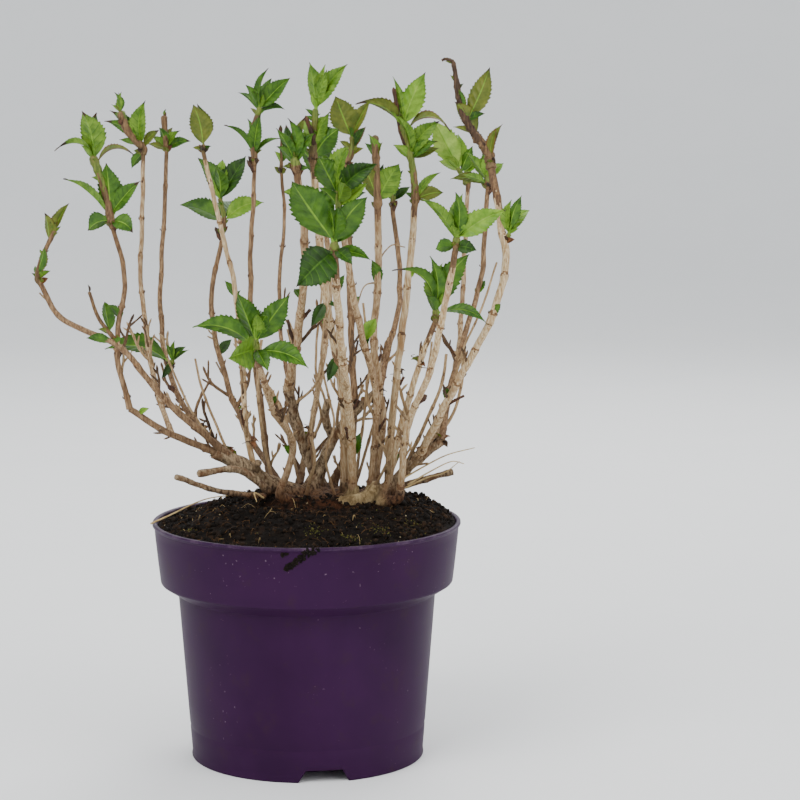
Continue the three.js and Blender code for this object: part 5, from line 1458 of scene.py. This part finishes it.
def makeShoots():
    dice = random.Random(23)
    leaves = dict(left=Heap(), centre=Heap(), right=Heap(), back=Heap())
    nodes = dict(left=[], centre=[], right=[], back=[])
    stems = Heap()
    for number, shoot in enumerate(shoots):
        heap = leaves[shoot.part]
        nodes[shoot.part].append(shoot.name)
        shootStem(stems, shoot, number)
        for k, leaf in enumerate(shoot.leaves):
            root = lineOf[shoot.name].at(min(leaf.up / shoot.long, 0.985))
            leaf = leaf._replace(side=leaf.side + dice.uniform(-3, 3), fore=leaf.fore + dice.uniform(-4, 4))
            growLeaf(heap, root, leaf, tintFor(shoot, k, leaf.arch, dice), number * 100 + k)
        budScales(heap, shoot, number, dice)
        if not shoot.bare:
            youngLeaves(heap, shoot, number, dice)
    for k, (name, share, side, fore, long, main, wide) in enumerate(caneLeaves):
        root = lineOf[name].at(share)
        part = "back" if fore < 0 else "left" if root[0] < -40 else "centre" if root[0] < 40 else "right"
        heap = leaves[part]
        growLeaf(heap, root, Leaf(0, side, fore, long, wide, 75, 24), oneTint(main, 0.1), 9000 + k)
        small = Leaf(0, -side * 0.8, fore * 0.5, long * 0.4, 0.4, arch=24)
        growLeaf(heap, root, small, oneTint(main, 0.1), 9500 + k)
    # crumpled dead leaves caught on the low limbs
    for k, (name, share, size) in enumerate(scraps):
        root = lineOf[name].at(share)
        heap = leaves["left" if root[0] < -30 else "centre" if root[0] < 40 else "right"]
        for step in range(4):
            lean = dice.uniform(-150, 150), dice.uniform(-60, 60)
            leaf = Leaf(0, *lean, size * dice.uniform(0.6, 1.1), 0.6,
                        arch=dice.uniform(70, 110), face=dice.uniform(20, 80))
            growLeaf(heap, root, leaf, oneTint(dice.choice([dried, red, red])), 8000 + k * 10 + step)
    finishes = [leafFinish(*colours) for colours in leafColours]
    for part, heap in leaves.items():
        heap.piece("leaves_" + part, "leaf", finishes, nodes[part], weld=2e-6)
    driedHook(stems)
    stems.piece("shoot_stems", "leaf", [
        bark("greenStem", (112, 124, 48), (72, 88, 26), (98, 78, 40), 0.55, 0.0003),
        bark("brownStem", (128, 100, 68), (80, 56, 36), (74, 70, 38), 0.7, 0.0005),
        bark("scalyStem", (88, 66, 48), (52, 38, 30), (70, 58, 44), 0.85, 0.0008)])


def budScales(heap, shoot, number, dice):
    # dry brown scales round the foot of the shoot
    for k in range(6):
        side, fore = around(42, radians(k * 60 + number * 25))
        leaf = Leaf(0, side + shoot.side, fore, dice.uniform(4.5, 8), 0.6, arch=16)
        tint = oneTint(dice.choice([dried, red, red]))
        growLeaf(heap, lineOf[shoot.name].at(0.02), leaf, tint, 3000 + number * 10 + k)


def youngLeaves(heap, shoot, number, dice):
    # narrow folded leaflets crowded round the growing tip, and small pairs down the stem
    line = lineOf[shoot.name]
    root = line.at(min(max(leaf.up for leaf in shoot.leaves) / shoot.long, 0.985))
    reach = min(max(leaf.long for leaf in shoot.leaves) * 0.42, 17)
    for k in range(5 if shoot.long < 30 else 6):
        turn = radians(k * 137.5 + number * 31)
        side = shoot.side + 24 * cos(turn) + dice.uniform(-5, 5)
        fore = 26 * sin(turn) + dice.uniform(-5, 5)
        main = shoot.mains[(k + 1) % len(shoot.mains)]
        tint = oneTint(youngLook.get(main, main), shoot.dried)
        leaf = Leaf(0, side, fore, reach * dice.uniform(0.5, 1), dice.uniform(0.2, 0.34), arch=12)
        growLeaf(heap, root, leaf, tint, 5000 + number * 10 + k)
    pairs = int(line.length / 13)
    for p in range(pairs):
        for half in (0, 180):
            side, fore = around(48, radians(p * 90 + number * 40 + half))
            tint = oneTint(dice.choice([young, fresh, olive]), 0.1)
            leaf = Leaf(0, shoot.side + side, fore, dice.uniform(4, 9.5), 0.36, arch=24)
            growLeaf(heap, line.at((p + 0.5) / pairs), leaf, tint, 7000 + number * 20 + p * 2 + half)


def shootStem(heap, shoot, number):
    # looks: green stem, brown foot, scaly dry wood
    line = lineOf[shoot.name]
    scaly = shoot.name == "shoot_dried_top"
    knobs, grit = (0.34, 0.24) if scaly else (0.12, 0.05)
    woody = 2 if shoot.bare else shoot.woody or (0.62 if line.length > 30 else 0.45)
    sides = 12
    shares = steps(max(8, int(line.length / 0.9)))
    along = shares * line.length
    girth = taper(shoot.start or limbs[shoot.on][2] * 0.96, shoot.end, shares)
    shape = 1 + (shoot.girth - 1) * np.clip(along / 6, 0, 1)
    for up in sorted({round(leaf.up / shoot.long, 1) for leaf in shoot.leaves}):
        shape += 0.2 * hump((shares - up) * line.length, 1.9)
    if scaly:
        shape += 0.1 * np.abs(np.sin(along / 2.3))
    shape *= roundedEnd(along, line.length, girth[-1])
    radii = []
    looks = []
    for r, share in enumerate(shares):
        for i in range(sides):
            x, y = around(1, 2 * pi * i / sides)
            rough = lump(x * 1.4 + number, y * 1.4, along[r] / 2)
            fine = lump(x * 3 + number, y * 3, along[r] / 0.9)
            radii.append(girth[r] * shape[r] * (1 + knobs * rough + grit * fine))
            edge = share + lump(i * 0.7, number * 1.7, share * 6) * 0.3
            looks.append(2 if scaly and edge > 0.3 else 1 if edge < woody else 0)
    tube(heap, line.at(shares), radii, looks[:-sides], sides)


def driedHook(heap):
    # the dry tip that hooks over to the left
    line = lineOf["shoot_dried_top"]
    tip = line.at(1)
    hook = Line([line.at(0.96), tip, tip + [-2.6, 0, 1.6], tip + [-5.5, 0, 2.2], tip + [-8, 0, 1.2]])
    shares = steps(22)
    tube(heap, hook.at(shares), (1.5 - 0.6 * shares) * (1 + 0.16 * np.sin(shares * 40)), 2, 10)


def leafFinish(name, dark, light):
    # a leaf colour: soft mottling, fine cell grain, a slight sheen
    green = Finish(name, specular=0.3)
    mottle = green.band(green.grain(160, 4, 0.6), 0.36, 0.66)
    shade = green.blend(mottle, dark, light)
    veins = green.band(green.grain(900, 2, 0.7), 0.56, 0.7) * 0.25
    green.wear("colour", green.blend(veins, shade, shaded(dark, 0.72)))
    green.wear("roughness", mottle * 0.12 + 0.44)
    green.bump(green.grain(1400, 3), 0.35, 0.00025)
    return green


makeShoots()
